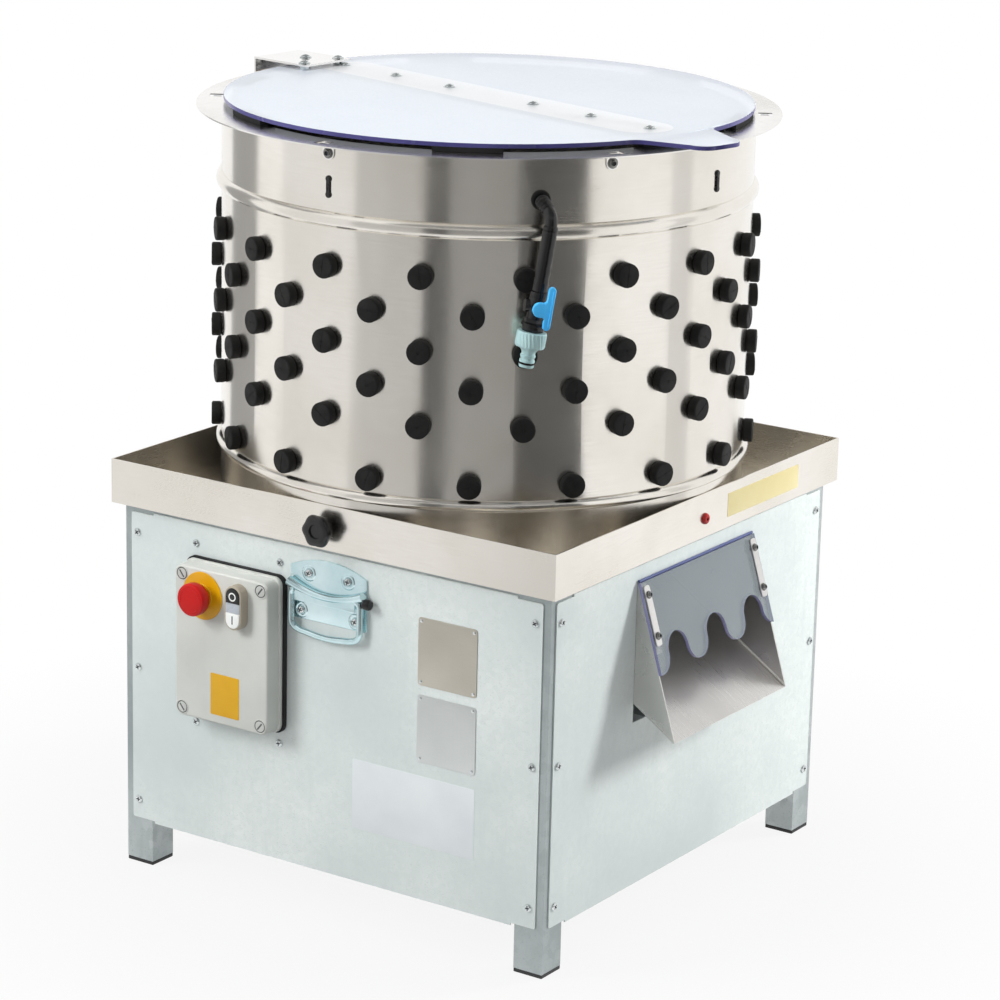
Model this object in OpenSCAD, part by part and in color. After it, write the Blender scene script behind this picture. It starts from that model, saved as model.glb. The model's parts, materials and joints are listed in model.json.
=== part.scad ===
// Poultry plucker: a drum lined with rubber fingers on a panelled base, with a hinged clear lid,
// a spray ring, a belt-driven rotor and a chute for the feathers.
// Millimetres, +Z up, floor at z = 0, drum axis on the Z axis.
// The control box faces -Y and the feather chute faces +X.

/* [Base] */
// Width of the square base over the leg tubes
base_w = 629; // [615:1:640]
// Side of a square leg tube
leg_w = 40; // [36:1:44]
// Wall of the leg and rail tubes
tube_t = 2; // [1.5:0.1:3]
// Height of the underside of the tray
leg_h = 471; // [460:1:520]
// Height of a rail tube
rail_h = 20; // [16:1:24]
// Depth of the lower rails' top face below the tray
low_rail_drop = 301; // [281:1:306]
// Height of a foot cap below its tube
cap_h = 5; // [3:0.5:8]

/* [Sheet metal] */
// Thickness of the panels, tray, drum, flange and chute
sheet_t = 1.5; // [1.2:0.1:2]
// Lower edge of the side panels
panel_low = 58; // [45:1:70]
// Gap between a panel and the tray above it
panel_gap = 7; // [4:0.5:12]
// Leg tube left showing beside a panel
corner_show = 10; // [6:0.5:14]
// Panel screw distance from the upper and lower edges
screw_edge = 28; // [24:1:34]

/* [Tray and drum] */
// Outside diameter of the drum
drum_d = 650; // [640:1:660]
// Height of the drum without its flange
drum_h = 486; // [480:1:520]
// Gap between the drum and the tray walls
drum_play = 0.5; // [0.3:0.1:0.8]
// Height of the tray
tray_h = 55.5; // [50:0.5:60]
// How far the stiffening beads stand out
bead_out = 6.5; // [4:0.5:8]
// How far the top flange stands out from the drum
flange_w = 31; // [27:1:36]
// Width of the flange inside the drum
flange_in = 11; // [8:0.5:14]

/* [Plucking fingers] */
// Fingers in one row of the drum
fingers_per_row = 17; // [14:1:18]
// Height steps between the upper rows
row_pitch = 44.2; // [42:0.1:45]
// Diameter of a finger head
head_d = 29; // [26:0.5:30]
// How far a head stands out of the drum
head_out = 12; // [9:0.5:13]
// Reach of a finger into the drum
finger_l = 90; // [80:1:95]
// Diameter of the finger neck in its hole
neck_d = 20; // [17:0.5:21]

/* [Lid] */
// Thickness of the clear lid
lid_t = 5; // [4:0.5:6]
// Turn of the lid from the chute side
lid_turn = -13.3; // [-20:0.1:-8]
// Height of the pads under the lid
pad_h = 5.7; // [5.2:0.1:8]
// Width of the stiffening strip under the lid
strip_w = 78; // [60:1:90]
// Turn of the hinge about the drum
hinge_turn = -7; // [-9:0.5:-6]

/* [Rotor drive] */
// Thickness of the rotor plate
rotor_t = 4; // [3:0.5:6]
// Diameter of the main shaft
shaft_d = 30; // [25:1:32]
// Diameter of the large pulley
pulley_d = 280; // [240:2:300]
// Diameter of the motor pulley
motor_pulley_d = 70; // [64:1:80]
// Diameter of the motor body
motor_d = 140; // [120:2:150]

/* [Control box] */
// Width of the box cover
cover_w = 142; // [136:1:150]
// Height of the box cover
cover_h = 193; // [186:1:205]
// Depth of the box cover
cover_d = 27; // [22:1:34]
// Middle of the box from the left side of the base
box_side = 176.5; // [169.5:0.5:179.5]
// Diameter of the emergency stop disc
estop_d = 60; // [50:1:64]
// Diameter of the emergency stop head
estop_head_d = 41; // [36:1:45]

/* [Handles] */
// Half width of a handle plate
handle_half = 57; // [54:1:64]
// Diameter of the bail wire
wire_d = 8; // [6:0.5:9]
// Drop of the bail below its pivot
bail_drop = 54; // [48:1:62]

/* [Chute] */
// Width of the chute over its side plates
chute_w = 264; // [250:1:268]
// How far the chute lip stands out of the panel
chute_out = 58.6; // [45:0.5:75]
// Height of the chute opening from lip to apex
chute_drop = 188.5; // [175:0.5:200]
// Slope of the chute floor
chute_slope = 33.5; // [32:0.5:36]
// Thickness of the clear shield
shield_t = 4; // [3:0.5:6]

/* [Water inlet] */
// Direction of the inlet from the front
inlet_turn = 45; // [42:1:48]
// Distance of the pipe from the drum axis, past the wall
pipe_off = 29.5; // [29:0.5:36]
// Lean of the pipe
pipe_lean = 8.7; // [4:0.1:12]
// Outside diameter of the short hose
hose_d = 18; // [16:0.5:20]

/* [Hidden] */
$fn = 48;
// Overlap that joins or clears faces
eps = 0.5;
// Running clearance on a radius
run = 0.05;
// Clearance round a fixed screw
fit = 0.2;
// Gap between pieces that only nearly touch
near = 0.3;

// Base
half = base_w / 2;
panel_out = half + sheet_t;
rail_l = base_w - 2 * leg_w;
beam_y = 155;
top_rail_z = leg_h - rail_h;
low_rail_z = leg_h - low_rail_drop;
panel_high = leg_h - panel_gap;
panel_half = half - corner_show;
panel_step = 3;
panel_notch = 35;
screw_zs = [panel_low + screw_edge, (panel_low + panel_high) / 2, panel_high - screw_edge];
screw_x = half - leg_w / 2;
screw_r = 2;
screw_head_r = 5;
screw_head_h = 2.6;

// Tray and drum
drum_r = drum_d / 2;
drum_in = drum_r - sheet_t;
tray_in = drum_r + drum_play;
tray_out = tray_in + sheet_t;
floor_z = leg_h + sheet_t;
drum_top = floor_z + drum_h;
flange_r = drum_r + flange_w;
flange_top = drum_top + sheet_t;
low_bead_z = floor_z + 71.5;
low_bead_h = 14;
top_bead_drop = 89.5;
top_bead_z = drum_top - top_bead_drop;
top_bead_h = 19;
drop_x = 52;
drop_l = 218;
drop_w = chute_w - 8;
knob_x = 0;
knob_z = floor_z + 25;
clamp_z = floor_z + 22;
stud_r = 5;
clamp_r = 4;
boss_r = 8;
boss_h = 8;
clamp_reach = sheet_t * 2 + drum_play + boss_h + 2;

// Fingers
neck_r = neck_d / 2;
head_r = head_d / 2;
tip_r = 7.5;
body_r = neck_r + 1.6;
neck_gap = 0.5;
rib_out = 0.9;
ribs = 3;
hole_r = neck_r + fit;
finger_step = 360 / fingers_per_row;
row_drop = 54;
low_row_up = 25.2;
// Rows as [height, half-step turn]
rows = [
    for (i = [0:4]) [top_bead_z - row_drop - i * row_pitch, (i % 2) / 2],
    [low_bead_z + low_row_up, 0.5]
];

// Flange tabs and the hinge bracket bolts
tab_turns = [0, 60, 120, 180, 240, 300];
tab_w = 16;
tab_play = 0.1;
tab_hole_r = 3.2;
tab_bolt_z = drum_top - 12;
bolt_r = 3;
bolt_head_r = 5.5;
bolt_head_h = 3;
washer_r = 6.5;
washer_t = 1;
nut_r = 6.5;
nut_h = 5;
wall_sag = 0.2;

// Lid and hinge
lid_r = drum_r - 2;
lid_z = flange_top + near + pad_h;
lid_top = lid_z + lid_t;
tab_tip = lid_r + 77;
tab_round = 22;
tab_half = 36;
tab_root = lid_r - 11;
tab_root_half = 63;
tab_fillet = 22;
strip_t = 5;
pad_w = 21;
strip_end = lid_r - pad_w - near;
strip_start = -(lid_r - 25);
strip_mid = (strip_end + strip_start) / 2;
strip_bolt_r = 3;
strip_bolt_xs = [-275, -176, -75.5, 75.5, 176, 275];
pad_arc = 14.5;
pad_turns = [-29, 30, 75, 106, 166, 226, 286];
pad_in = lid_r - pad_w;
arm_t = 2.5;
arm_gap = 5;
arm_z = lid_top + arm_gap;
arm_half = 41;
arm_in = lid_r - 51;
// Hinge arm bolts as [x, y, extra thickness clamped under the lid]
arm_bolts = [[-arm_in - 12, -31, 0], [-arm_in - 12, 30, strip_t], [-arm_in - 44, 4, 0]];
pivot_x = flange_r + 6;
pivot_z = drum_top - 28.5;
knuckle_r = 5.5;
knuckle_half = 20;
pin_r = 3;
ear_t = 4;
ear_r = 8;
bracket_t = 3;
bracket_half = 30;
bracket_up = 18;
bracket_bolt_x = 12;
bracket_bolt_z = pivot_z + 9;

// Rotor and drive
rotor_z = floor_z + 67.5;
rotor_r = drum_r - 25;
finger_rings = [[90, 8], [150, 12], [drum_r - finger_l - 30, 16]];
sweep_turns = [101.25, 281.25];
sweep_t = 3;
sweep_in = 60;
sweep_gap = 4;
hub_r = 45;
hub_h = 36;
shaft_r = shaft_d / 2;
shaft_low = low_rail_z - 66;
cap_nut_r = 24;
cap_nut_h = 8;
plate_t = 6;
plate_half_x = 60;
plate_half_y = 175;
upper_plate_x = 44;
bearing_r = shaft_r + 13;
bearing_h = 20;
housing_r = shaft_r + 21;
housing_flange_r = shaft_r + 29;
housing_flange_h = 12;
upper_housing_h = rotor_z - hub_h - top_rail_z - 6;
lower_housing_h = 29;
pulley_z = low_rail_z - 58;
pulley_h = 26;
pulley_r = pulley_d / 2;
motor_pulley_r = motor_pulley_d / 2;
groove_d = 11;
groove_w = 12;
belt_t = 9;
belt_w = 10;
belt_lap = 3;
run_slim = 0.25;
motor_side = 124.5;
motor_back = 99.5;
motor_x = motor_side - half;
motor_y = half - motor_back;
motor_r = motor_d / 2;
motor_z = low_rail_z + plate_t;
motor_flange_h = 12;
motor_h = 172;
fan_h = 35;
motor_shaft_r = 12;
motor_shaft_h = 120;
motor_shaft_top = motor_z + motor_shaft_h;
belt_span = norm([motor_x, motor_y]);
belt_turn = atan2(motor_y, motor_x);
motor_plate_half = 80;
motor_plate_y = [beam_y - leg_w / 2, half - leg_w / 2];

// Control box
box_x = box_side - half;
box_z = leg_h - 147;
gasket_t = 6;
gasket_w = cover_w + 9;
gasket_h = cover_h + 7;
box_w = cover_w - 12;
box_h = cover_h - 13;
box_depth = 60;
box_wall = 3;
cover_wall = 4;
cover_face = gasket_t + cover_d;
box_screw_dx = 64.4;
box_screw_dz = 115;
box_flange_t = 2;
corner_dx = cover_w / 2 - 11;
corner_dz = cover_h / 2 - 11;
corner_r = 6.5;
corner_post_r = 9;
estop_dx = -28;
estop_dz = 63;
estop_neck_r = 11;
estop_collar_r = 15;
estop_collar_h = 2;
estop_stem_r = 8;
estop_base_t = 1.2;
estop_head_low = 7.5;
estop_head_high = 26;
estop_socket = 13;
button_dx = 28;
button_dz = 61;
bezel_r = 13;
bezel_half = 15;
bezel_d = 13;
bezel_floor = 3;
pocket_r = 10.5;
bridge_half = 6;
button_top = 14;
button_low = 6.3;
button_stem_r = 3;

// Handles
handle_z = leg_h - 57;
handle_t = 2;
handle_up = 40;
handle_down = 38;
handle_rise = 13;
handle_arch_r = (handle_half * handle_half + handle_rise * handle_rise) / (2 * handle_rise);
wire_r = wire_d / 2;
barrel_r = wire_r + 4;
arm_x = handle_half - 6;
bend_r = wire_r + 3;
corner_bend_r = 14;
pin_in = 28;
notch_w = bend_r + near + wire_r + 1.5;
smile_half = 42;
smile_up = 9;
smile_down = 6;
smile_rise = smile_up + smile_down;
smile_r = (smile_half * smile_half + smile_rise * smile_rise) / (2 * smile_rise);
handle_screws = [[-29, 20.5], [29, 20.5], [-40.3, -27], [40.3, -27]];
stop_r = 6.5;
stop_l = 10;

// Name plates
name_plate_w = 84;
name_plate_t = 1;
name_plate_side = 141.5;
name_plate_x = half - name_plate_side;
name_plate_drops = [101, 197];

// Chute
apex_x = panel_out + near;
apex_z = leg_h - 27;
lip_x = apex_x + chute_out;
lip_z = apex_z - chute_drop;
chute_half = chute_w / 2;
chute_tilt = atan(chute_out / chute_drop);
chute_top_z = leg_h - near;
chute_in_x = lip_x - (chute_top_z - lip_z) / tan(chute_slope);
chute_rail_x = half - leg_w - near;
chute_rail_z = top_rail_z - 7;
chute_fall = [-sin(chute_slope), -cos(chute_slope)] * sheet_t;
panel_floor_z = lip_z + (lip_x - half) * tan(chute_slope);
mouth_reach = 27;
mouth_low = panel_floor_z - mouth_reach;
mouth_high = apex_z + 2;
lobe_r = 22;
lobe_s = 93;
lobe_shift = 4;
shield_flange_w = 18;
shield_flange_l = 90;
shield_strip_w = 12;
shield_strip_l = 74;
shield_strip_s = 43;
shield_bolt_x = chute_half - 8.5;
shield_bolt_ss = [17.5, 68];
shield_bolt_r = 2.5;

// Water inlet
ring_tube_r = 8;
ring_bore_r = 6.5;
ring_drop = 51.5;
ring_z = drum_top - ring_drop;
ring_r = drum_in - eps - ring_tube_r;
spray_holes = 12;
spray_hole_r = 1.2;
tie_dz = 10.5;
tie_w = 4.6;
tie_t = 1.4;
tie_hole_r = 2.6;
grommet_r = 11.5;
grommet_neck_r = 8.8;
grommet_h = 4;
inlet_hole_r = 9;
elbow_r = 6;
elbow_joint_r = 7;
pipe_r = drum_r + pipe_off;
bend_s = 8;
bend_drop = 14;
knee_out = 9;
elbow_ring_r = 8;
hose_r = hose_d / 2;
hose_top = 16;
hose_low = 86;
spigot_l = 15;
valve_r = 11;
valve_top = hose_low + 1;
valve_low = 118;
valve_nut_r = 12;
valve_nut_low = 129;
lever_at = 104;
valve_boss_r = 8;
valve_boss_out = 15;
lever_pin_r = 3;
lever_hub_r = 9;
lever_hub_t = 8;
lever_w = 10;
lever_t = 5;
lever_l = 51;
connector_top = 130;
connector_low = 154;
connector_r = 17;
connector_rib_r = 1.5;
connector_ribs = 14;
connector_bore_r = 5;
thread_r = 8;
neck_low = 160;
tail_low = 178;
tail_r = 8.9;
seal_at = 171;
seal_w = 3;
seal_d = 1;

// Mains gland
gland_x = -200;
gland_z = panel_low + 62;
gland_r = 10;
gland_nut_r = 14;
gland_nut_h = 6;
gland_dome_h = 12;
gland_bore_r = 4;

// Frames used by the modules

// Looks outward at a turn from the front: x to the right, y up, z away from the drum axis
module facing(turn) {
    rotate([90, 0, turn])
        children();
}

// Runs down the leaning inlet pipe: z down the pipe, y away from the drum
module along_pipe() {
    facing(inlet_turn)
        translate([bend_s, ring_z - bend_drop, pipe_r])
            rotate([0, 0, -pipe_lean])
                rotate([90, 0, 0])
                    children();
}

// Lies on the sloping front of the chute: x across, y up the slope, z out
module on_slope() {
    translate([apex_x, 0, apex_z])
        rotate([90, 0, 90])
            rotate([-chute_tilt, 0, 0])
                children();
}

// Centre of the control box on the front panel
module at_box() {
    facing(0)
        translate([box_x, box_z, panel_out])
            children();
}

// Pivot of a handle on the front or the rear panel
module at_handle(turn) {
    facing(turn)
        translate([0, handle_z, panel_out])
            children();
}

// Shared shapes

// Flat rectangle with round corners
module rounded(w, h, r) {
    square([w - 2 * r, h], center = true);
    square([w, h - 2 * r], center = true);
    for (sx = [-1, 1], sy = [-1, 1])
        translate([sx * (w / 2 - r), sy * (h / 2 - r)])
            circle(r);
}

// Flat slot shape along y
module slot_shape(half_l, r) {
    square([2 * r, 2 * half_l], center = true);
    for (s = [-1, 1])
        translate([0, s * half_l])
            circle(r);
}

// Hollow rectangular tube along x
module tube_x(l, w, h) {
    difference() {
        cube([l, w, h]);
        translate([-eps, tube_t, tube_t])
            cube([l + 2 * eps, w - 2 * tube_t, h - 2 * tube_t]);
    }
}

// Pan-head screw with its head on z = 0
module pan_screw(l) {
    difference() {
        union() {
            cylinder(r1 = screw_head_r, r2 = screw_head_r * 0.7, h = screw_head_h);
            translate([0, 0, -l])
                cylinder(r = screw_r, h = l + eps);
        }
        translate([0, 0, screw_head_h / 2])
            cylinder(r = screw_head_r / 3, h = screw_head_h);
    }
}

// Button-head bolt with its head on z = 0 and a nut below the clamped stack
module button_bolt(r, head_r, stack, wash_r) {
    difference() {
        union() {
            cylinder(r = wash_r, h = washer_t);
            translate([0, 0, washer_t])
                cylinder(r1 = head_r, r2 = head_r * 0.65, h = bolt_head_h);
            translate([0, 0, -stack - nut_h - 1])
                cylinder(r = r, h = stack + nut_h + 1 + eps);
            translate([0, 0, -stack - nut_h])
                cylinder(r = nut_r, h = nut_h, $fn = 6);
        }
        translate([0, 0, washer_t + bolt_head_h / 2])
            cylinder(r = r * 0.6, h = bolt_head_h, $fn = 6);
    }
}

// Rubber finger with its head above z = 0 and its body reaching down through a wall
module finger(wall) {
    body_top = -wall - neck_gap;
    body_l = finger_l + body_top;
    rotate_extrude()
        polygon(concat(
            [
                [0, head_out], [head_r - 1.2, head_out], [head_r, head_out - 1.2],
                [head_r, 1.5], [head_r - 1, 0], [neck_r, 0], [neck_r, body_top], [body_r, body_top]
            ],
            [
                for (i = [1:ribs], j = [-1:1])
                    let (f = i / (ribs + 1), r = body_r + (tip_r - body_r) * f)
                        [r + (1 - abs(j)) * rib_out, body_top - body_l * f - 1.5 * j]
            ],
            [[tip_r, 4 - finger_l], [tip_r - 3, -finger_l], [0, -finger_l]]
        ));
}

// Base frame

module legs() {
    color("silver")
        for (k = [0:3])
            rotate([0, 0, 90 * k])
                translate([-half, -half, cap_h])
                    difference() {
                        cube([leg_w, leg_w, leg_h - cap_h]);
                        translate([tube_t, tube_t, -eps])
                            cube([leg_w - 2 * tube_t, leg_w - 2 * tube_t, leg_h]);
                        for (z = screw_zs) {
                            translate([leg_w / 2, -eps, z - cap_h])
                                rotate([-90, 0, 0])
                                    cylinder(r = screw_r + fit, h = tube_t + 2 * eps);
                            translate([-eps, leg_w / 2, z - cap_h])
                                rotate([0, 90, 0])
                                    cylinder(r = screw_r + fit, h = tube_t + 2 * eps);
                        }
                    }
}

module foot_caps() {
    inset = tube_t + fit;
    color("black")
        for (k = [0:3])
            rotate([0, 0, 90 * k])
                translate([-half, -half, 0]) {
                    cube([leg_w, leg_w, cap_h]);
                    translate([inset, inset, cap_h - eps])
                        cube([leg_w - 2 * inset, leg_w - 2 * inset, 15]);
                }
}

module frame_rails() {
    color("silver")
        for (z = [top_rail_z, low_rail_z - rail_h]) {
            for (k = [0:3])
                rotate([0, 0, 90 * k])
                    translate([-rail_l / 2, -half, z])
                        tube_x(rail_l, leg_w, rail_h);
            for (s = [-1, 1])
                translate([-rail_l / 2 + near, s * beam_y - leg_w / 2, z])
                    tube_x(rail_l - 2 * near, leg_w, rail_h);
        }
}

// Side panel with its corner screw holes, and its own openings as children
module panel(turn) {
    mid_z = (panel_low + panel_high) / 2;
    panel_h = panel_high - panel_low;
    facing(turn)
        translate([0, 0, half])
            linear_extrude(sheet_t)
                difference() {
                    translate([0, mid_z]) {
                        rounded(2 * panel_half, panel_h - 2 * panel_step, panel_step);
                        square([2 * (panel_half - panel_notch), panel_h], center = true);
                    }
                    for (s = [-1, 1], z = screw_zs)
                        translate([s * screw_x, z])
                            circle(screw_r + fit);
                    children();
                }
}

module handle_holes() {
    for (p = handle_screws)
        translate([p[0], handle_z + p[1]])
            circle(screw_r + fit);
}

module front_panel() {
    color("lightsteelblue")
        panel(0) {
            translate([box_x, box_z])
                square([box_w + 2 * near, box_h + 2 * near], center = true);
            for (sx = [-1, 1], sz = [-1, 1])
                translate([box_x + sx * box_screw_dx, box_z + sz * box_screw_dz])
                    circle(screw_r + fit);
            handle_holes();
        }
}

module right_panel() {
    color("lightsteelblue")
        panel(90)
            translate([-chute_half - near, mouth_low])
                square([chute_w + 2 * near, mouth_high - mouth_low]);
}

module rear_panel() {
    color("lightsteelblue")
        panel(180) {
            handle_holes();
            translate([gland_x, gland_z])
                circle(gland_r + fit);
        }
}

module left_panel() {
    color("lightsteelblue")
        panel(270);
}

module panel_screws() {
    color("gainsboro") {
        for (k = [0:3], s = [-1, 1], z = screw_zs)
            facing(90 * k)
                translate([s * screw_x, z, panel_out])
                    pan_screw(sheet_t + tube_t + 6);
        for (sx = [-1, 1], sz = [-1, 1])
            at_box()
                translate([sx * box_screw_dx, sz * box_screw_dz, 0])
                    pan_screw(sheet_t + box_flange_t + 4);
        for (turn = [0, 180], p = handle_screws)
            at_handle(turn)
                translate([p[0], p[1], handle_t])
                    pan_screw(handle_t + sheet_t + 4);
    }
}

// Tray and drum

module tray() {
    color("lightgray")
        difference() {
            translate([-tray_out, -tray_out, leg_h])
                cube([2 * tray_out, 2 * tray_out, tray_h]);
            translate([-tray_in, -tray_in, floor_z])
                cube([2 * tray_in, 2 * tray_in, tray_h]);
            translate([0, 0, leg_h - eps])
                cylinder(r = housing_r + eps, h = sheet_t + 2 * eps);
            translate([drop_x, -drop_w / 2, leg_h - eps])
                cube([drop_l, drop_w, sheet_t + 2 * eps]);
            facing(0)
                translate([knob_x, knob_z, tray_in - eps])
                    cylinder(r = stud_r + eps, h = sheet_t + 2 * eps);
            for (turn = [90, 180, 270])
                facing(turn)
                    translate([0, clamp_z, tray_in - eps])
                        cylinder(r = clamp_r + fit, h = sheet_t + 2 * eps);
        }
}

// Half-round bead on the drum wall, drawn in the turned profile
module bead(z, h) {
    r = (h * h / 4 + bead_out * bead_out) / (2 * bead_out);
    intersection() {
        translate([drum_r + bead_out - r, z])
            circle(r);
        translate([drum_r - sheet_t / 2, z - h])
            square([bead_out * 2, 2 * h]);
    }
}

// Radial hole through the drum wall
module wall_hole(turn, x, z, r) {
    facing(turn)
        translate([x, z, drum_in - boss_h - 2])
            cylinder(r = r, h = boss_h + 12);
}

// Welded nut inside the drum wall
module weld_nut(turn, x) {
    facing(turn)
        translate([x, turn == 0 ? knob_z : clamp_z, drum_in - boss_h])
            cylinder(r = boss_r, h = boss_h + eps);
}

module drum() {
    color("silver")
        difference() {
            union() {
                rotate_extrude() {
                    translate([drum_in, floor_z])
                        square([sheet_t, drum_h]);
                    bead(low_bead_z, low_bead_h);
                    bead(top_bead_z, top_bead_h);
                }
                weld_nut(0, knob_x);
                for (turn = [90, 180, 270])
                    weld_nut(turn, 0);
            }
            for (row = rows, i = [0:fingers_per_row - 1])
                wall_hole((i + row[1]) * finger_step, 0, row[0], hole_r);
            for (turn = [0:90:270], s = [-1, 1])
                wall_hole(turn, 0, ring_z + s * tie_dz, tie_hole_r);
            for (turn = tab_turns)
                wall_hole(turn, 0, tab_bolt_z, tab_hole_r);
            for (s = [-1, 1])
                wall_hole(270 + hinge_turn, s * bracket_bolt_x, bracket_bolt_z, tab_hole_r);
            for (turn = [90, 180, 270])
                wall_hole(turn, 0, clamp_z, clamp_r + fit);
            wall_hole(0, knob_x, knob_z, stud_r + run);
            wall_hole(inlet_turn, 0, ring_z, inlet_hole_r);
        }
}

module top_flange() {
    slot_l = 17;
    color("silver") {
        difference() {
            rotate_extrude()
                translate([drum_r - flange_in, drum_top])
                    square([flange_in + flange_w, sheet_t]);
            for (turn = tab_turns)
                facing(turn)
                    translate([-tab_w / 2 - 1, drum_top - eps, drum_r + tab_play + sheet_t])
                        cube([tab_w + 2, sheet_t + 2 * eps, slot_l]);
        }
        for (turn = tab_turns)
            facing(turn)
                difference() {
                    translate([0, 0, drum_r + tab_play])
                        linear_extrude(sheet_t) {
                            translate([-tab_w / 2, tab_bolt_z])
                                square([tab_w, drum_top + sheet_t - tab_bolt_z]);
                            translate([0, tab_bolt_z])
                                circle(tab_w / 2);
                        }
                    translate([0, tab_bolt_z, drum_r])
                        cylinder(r = tab_hole_r, h = 2 * sheet_t);
                }
    }
}

module flange_bolts() {
    color("gainsboro") {
        for (turn = tab_turns)
            facing(turn)
                translate([0, tab_bolt_z, drum_r + tab_play + sheet_t])
                    button_bolt(bolt_r, bolt_head_r, 2 * sheet_t + tab_play + wall_sag, washer_r);
        for (s = [-1, 1])
            facing(270 + hinge_turn)
                translate([s * bracket_bolt_x, bracket_bolt_z, drum_r + tab_play + bracket_t])
                    button_bolt(bolt_r, bolt_head_r, bracket_t + sheet_t + 4 * wall_sag, bolt_head_r);
    }
}

module drum_fingers() {
    color([0.1, 0.1, 0.1])
        for (row = rows, i = [0:fingers_per_row - 1])
            facing((i + row[1]) * finger_step)
                translate([0, row[0], drum_r])
                    finger(sheet_t);
}

module drum_screws() {
    head_h = 4;
    color("firebrick")
        for (turn = [90, 180, 270])
            facing(turn)
                translate([0, clamp_z, tray_out])
                    difference() {
                        union() {
                            cylinder(r1 = 7, r2 = 4.5, h = head_h);
                            translate([0, 0, -clamp_reach])
                                cylinder(r = clamp_r, h = clamp_reach + eps);
                        }
                        translate([0, 0, head_h / 2])
                            cylinder(r = 2.5, h = head_h, $fn = 6);
                    }
}

module tray_knob() {
    neck_l = 8;
    lobe_at = 14.5;
    knob_lobe_r = 6;
    core_r = 18.6;
    head_l = 12;
    color([0.12, 0.12, 0.13])
        facing(0)
            translate([knob_x, knob_z, tray_out]) {
                translate([0, 0, -clamp_reach])
                    cylinder(r = stud_r, h = clamp_reach + neck_l);
                translate([0, 0, near])
                    cylinder(r = 11, h = 2);
                translate([0, 0, near])
                    cylinder(r = 9, h = neck_l);
                translate([0, 0, neck_l]) {
                    cylinder(r = core_r, h = head_l);
                    for (i = [0:5])
                        rotate([0, 0, 60 * i])
                            translate([lobe_at, 0, 0])
                                cylinder(r = knob_lobe_r, h = head_l);
                }
            }
}

// Water inlet and spray ring

module spray_ring() {
    color("darkslategray")
        difference() {
            rotate_extrude()
                translate([ring_r, ring_z])
                    difference() {
                        circle(ring_tube_r);
                        circle(ring_bore_r);
                    }
            for (i = [0:spray_holes - 1])
                facing((i + 0.5) * 360 / spray_holes)
                    translate([0, ring_z, ring_r - ring_tube_r - eps])
                        cylinder(r = spray_hole_r, h = ring_tube_r);
            facing(inlet_turn)
                translate([0, ring_z, ring_r])
                    cylinder(r = elbow_r + fit, h = ring_tube_r + eps);
        }
}

module ring_ties() {
    out_r = drum_r + 0.8 + tie_t;
    in_r = ring_r - ring_tube_r - 0.4 - tie_t;
    color([0.08, 0.08, 0.08])
        for (turn = [0:90:270])
            rotate([0, 0, turn - 90])
                translate([(out_r + in_r) / 2, tie_w / 2, ring_z])
                    rotate([90, 0, 0])
                        linear_extrude(tie_w)
                            difference() {
                                rounded(out_r - in_r, 2 * tie_dz + tie_t, 2);
                                square([out_r - in_r - 2 * tie_t, 2 * tie_dz - tie_t], center = true);
                            }
}

module inlet_grommet() {
    color([0.1, 0.1, 0.1])
        facing(inlet_turn)
            translate([0, ring_z, drum_r])
                difference() {
                    union() {
                        cylinder(r = grommet_r, h = grommet_h);
                        translate([0, 0, -sheet_t])
                            cylinder(r = grommet_neck_r, h = sheet_t + eps);
                    }
                    translate([0, 0, -sheet_t - eps])
                        cylinder(r = elbow_r + fit, h = sheet_t + grommet_h + 2 * eps);
                }
}

module inlet_elbow() {
    knee = [0, 0, drum_r + knee_out];
    bend = [bend_s, -bend_drop, pipe_r];
    leg = bend - knee;
    leg_l = norm(leg);
    leg_rise = acos(leg[2] / leg_l);
    leg_spin = atan2(leg[1], leg[0]);
    color([0.12, 0.12, 0.12]) {
        facing(inlet_turn)
            translate([0, ring_z, 0]) {
                translate([0, 0, ring_r + 2])
                    cylinder(r = elbow_r, h = knee[2] - ring_r - 2);
                translate(knee) {
                    sphere(elbow_joint_r);
                    rotate([0, leg_rise, leg_spin]) {
                        cylinder(r = elbow_r, h = leg_l);
                        for (i = [1:3])
                            translate([0, 0, leg_l * i / 4])
                                cylinder(r = elbow_ring_r, h = 2, center = true);
                    }
                }
                translate(bend)
                    sphere(elbow_joint_r);
            }
        along_pipe() {
            cylinder(r = elbow_r, h = hose_top + spigot_l);
            translate([0, 0, hose_top - 5])
                cylinder(r = elbow_ring_r, h = 4);
        }
    }
}

module inlet_hose() {
    color([0.1, 0.1, 0.1])
        along_pipe()
            translate([0, 0, hose_top])
                difference() {
                    cylinder(r = hose_r, h = hose_low - hose_top);
                    translate([0, 0, -eps])
                        cylinder(r = elbow_r + fit, h = hose_low - hose_top + 2 * eps);
                }
}

module valve_body() {
    color([0.12, 0.12, 0.12])
        along_pipe()
            difference() {
                union() {
                    translate([0, 0, hose_low - spigot_l])
                        cylinder(r = elbow_r, h = spigot_l + 5);
                    translate([0, 0, valve_top])
                        cylinder(r = hose_r + 1, h = 6);
                    translate([0, 0, valve_top + 5])
                        cylinder(r = valve_r, h = valve_low - valve_top - 5);
                    translate([0, 0, lever_at])
                        rotate([-90, 0, 0])
                            cylinder(r = valve_boss_r, h = valve_boss_out);
                    translate([0, 0, valve_low - eps])
                        cylinder(r = valve_nut_r, h = valve_nut_low - valve_low + eps, $fn = 6);
                    translate([0, 0, valve_nut_low - eps])
                        cylinder(r = thread_r, h = connector_low - valve_nut_low - 8);
                }
                translate([0, 4, lever_at])
                    rotate([-90, 0, 0])
                        cylinder(r = lever_pin_r + run, h = valve_boss_out);
            }
}

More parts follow.
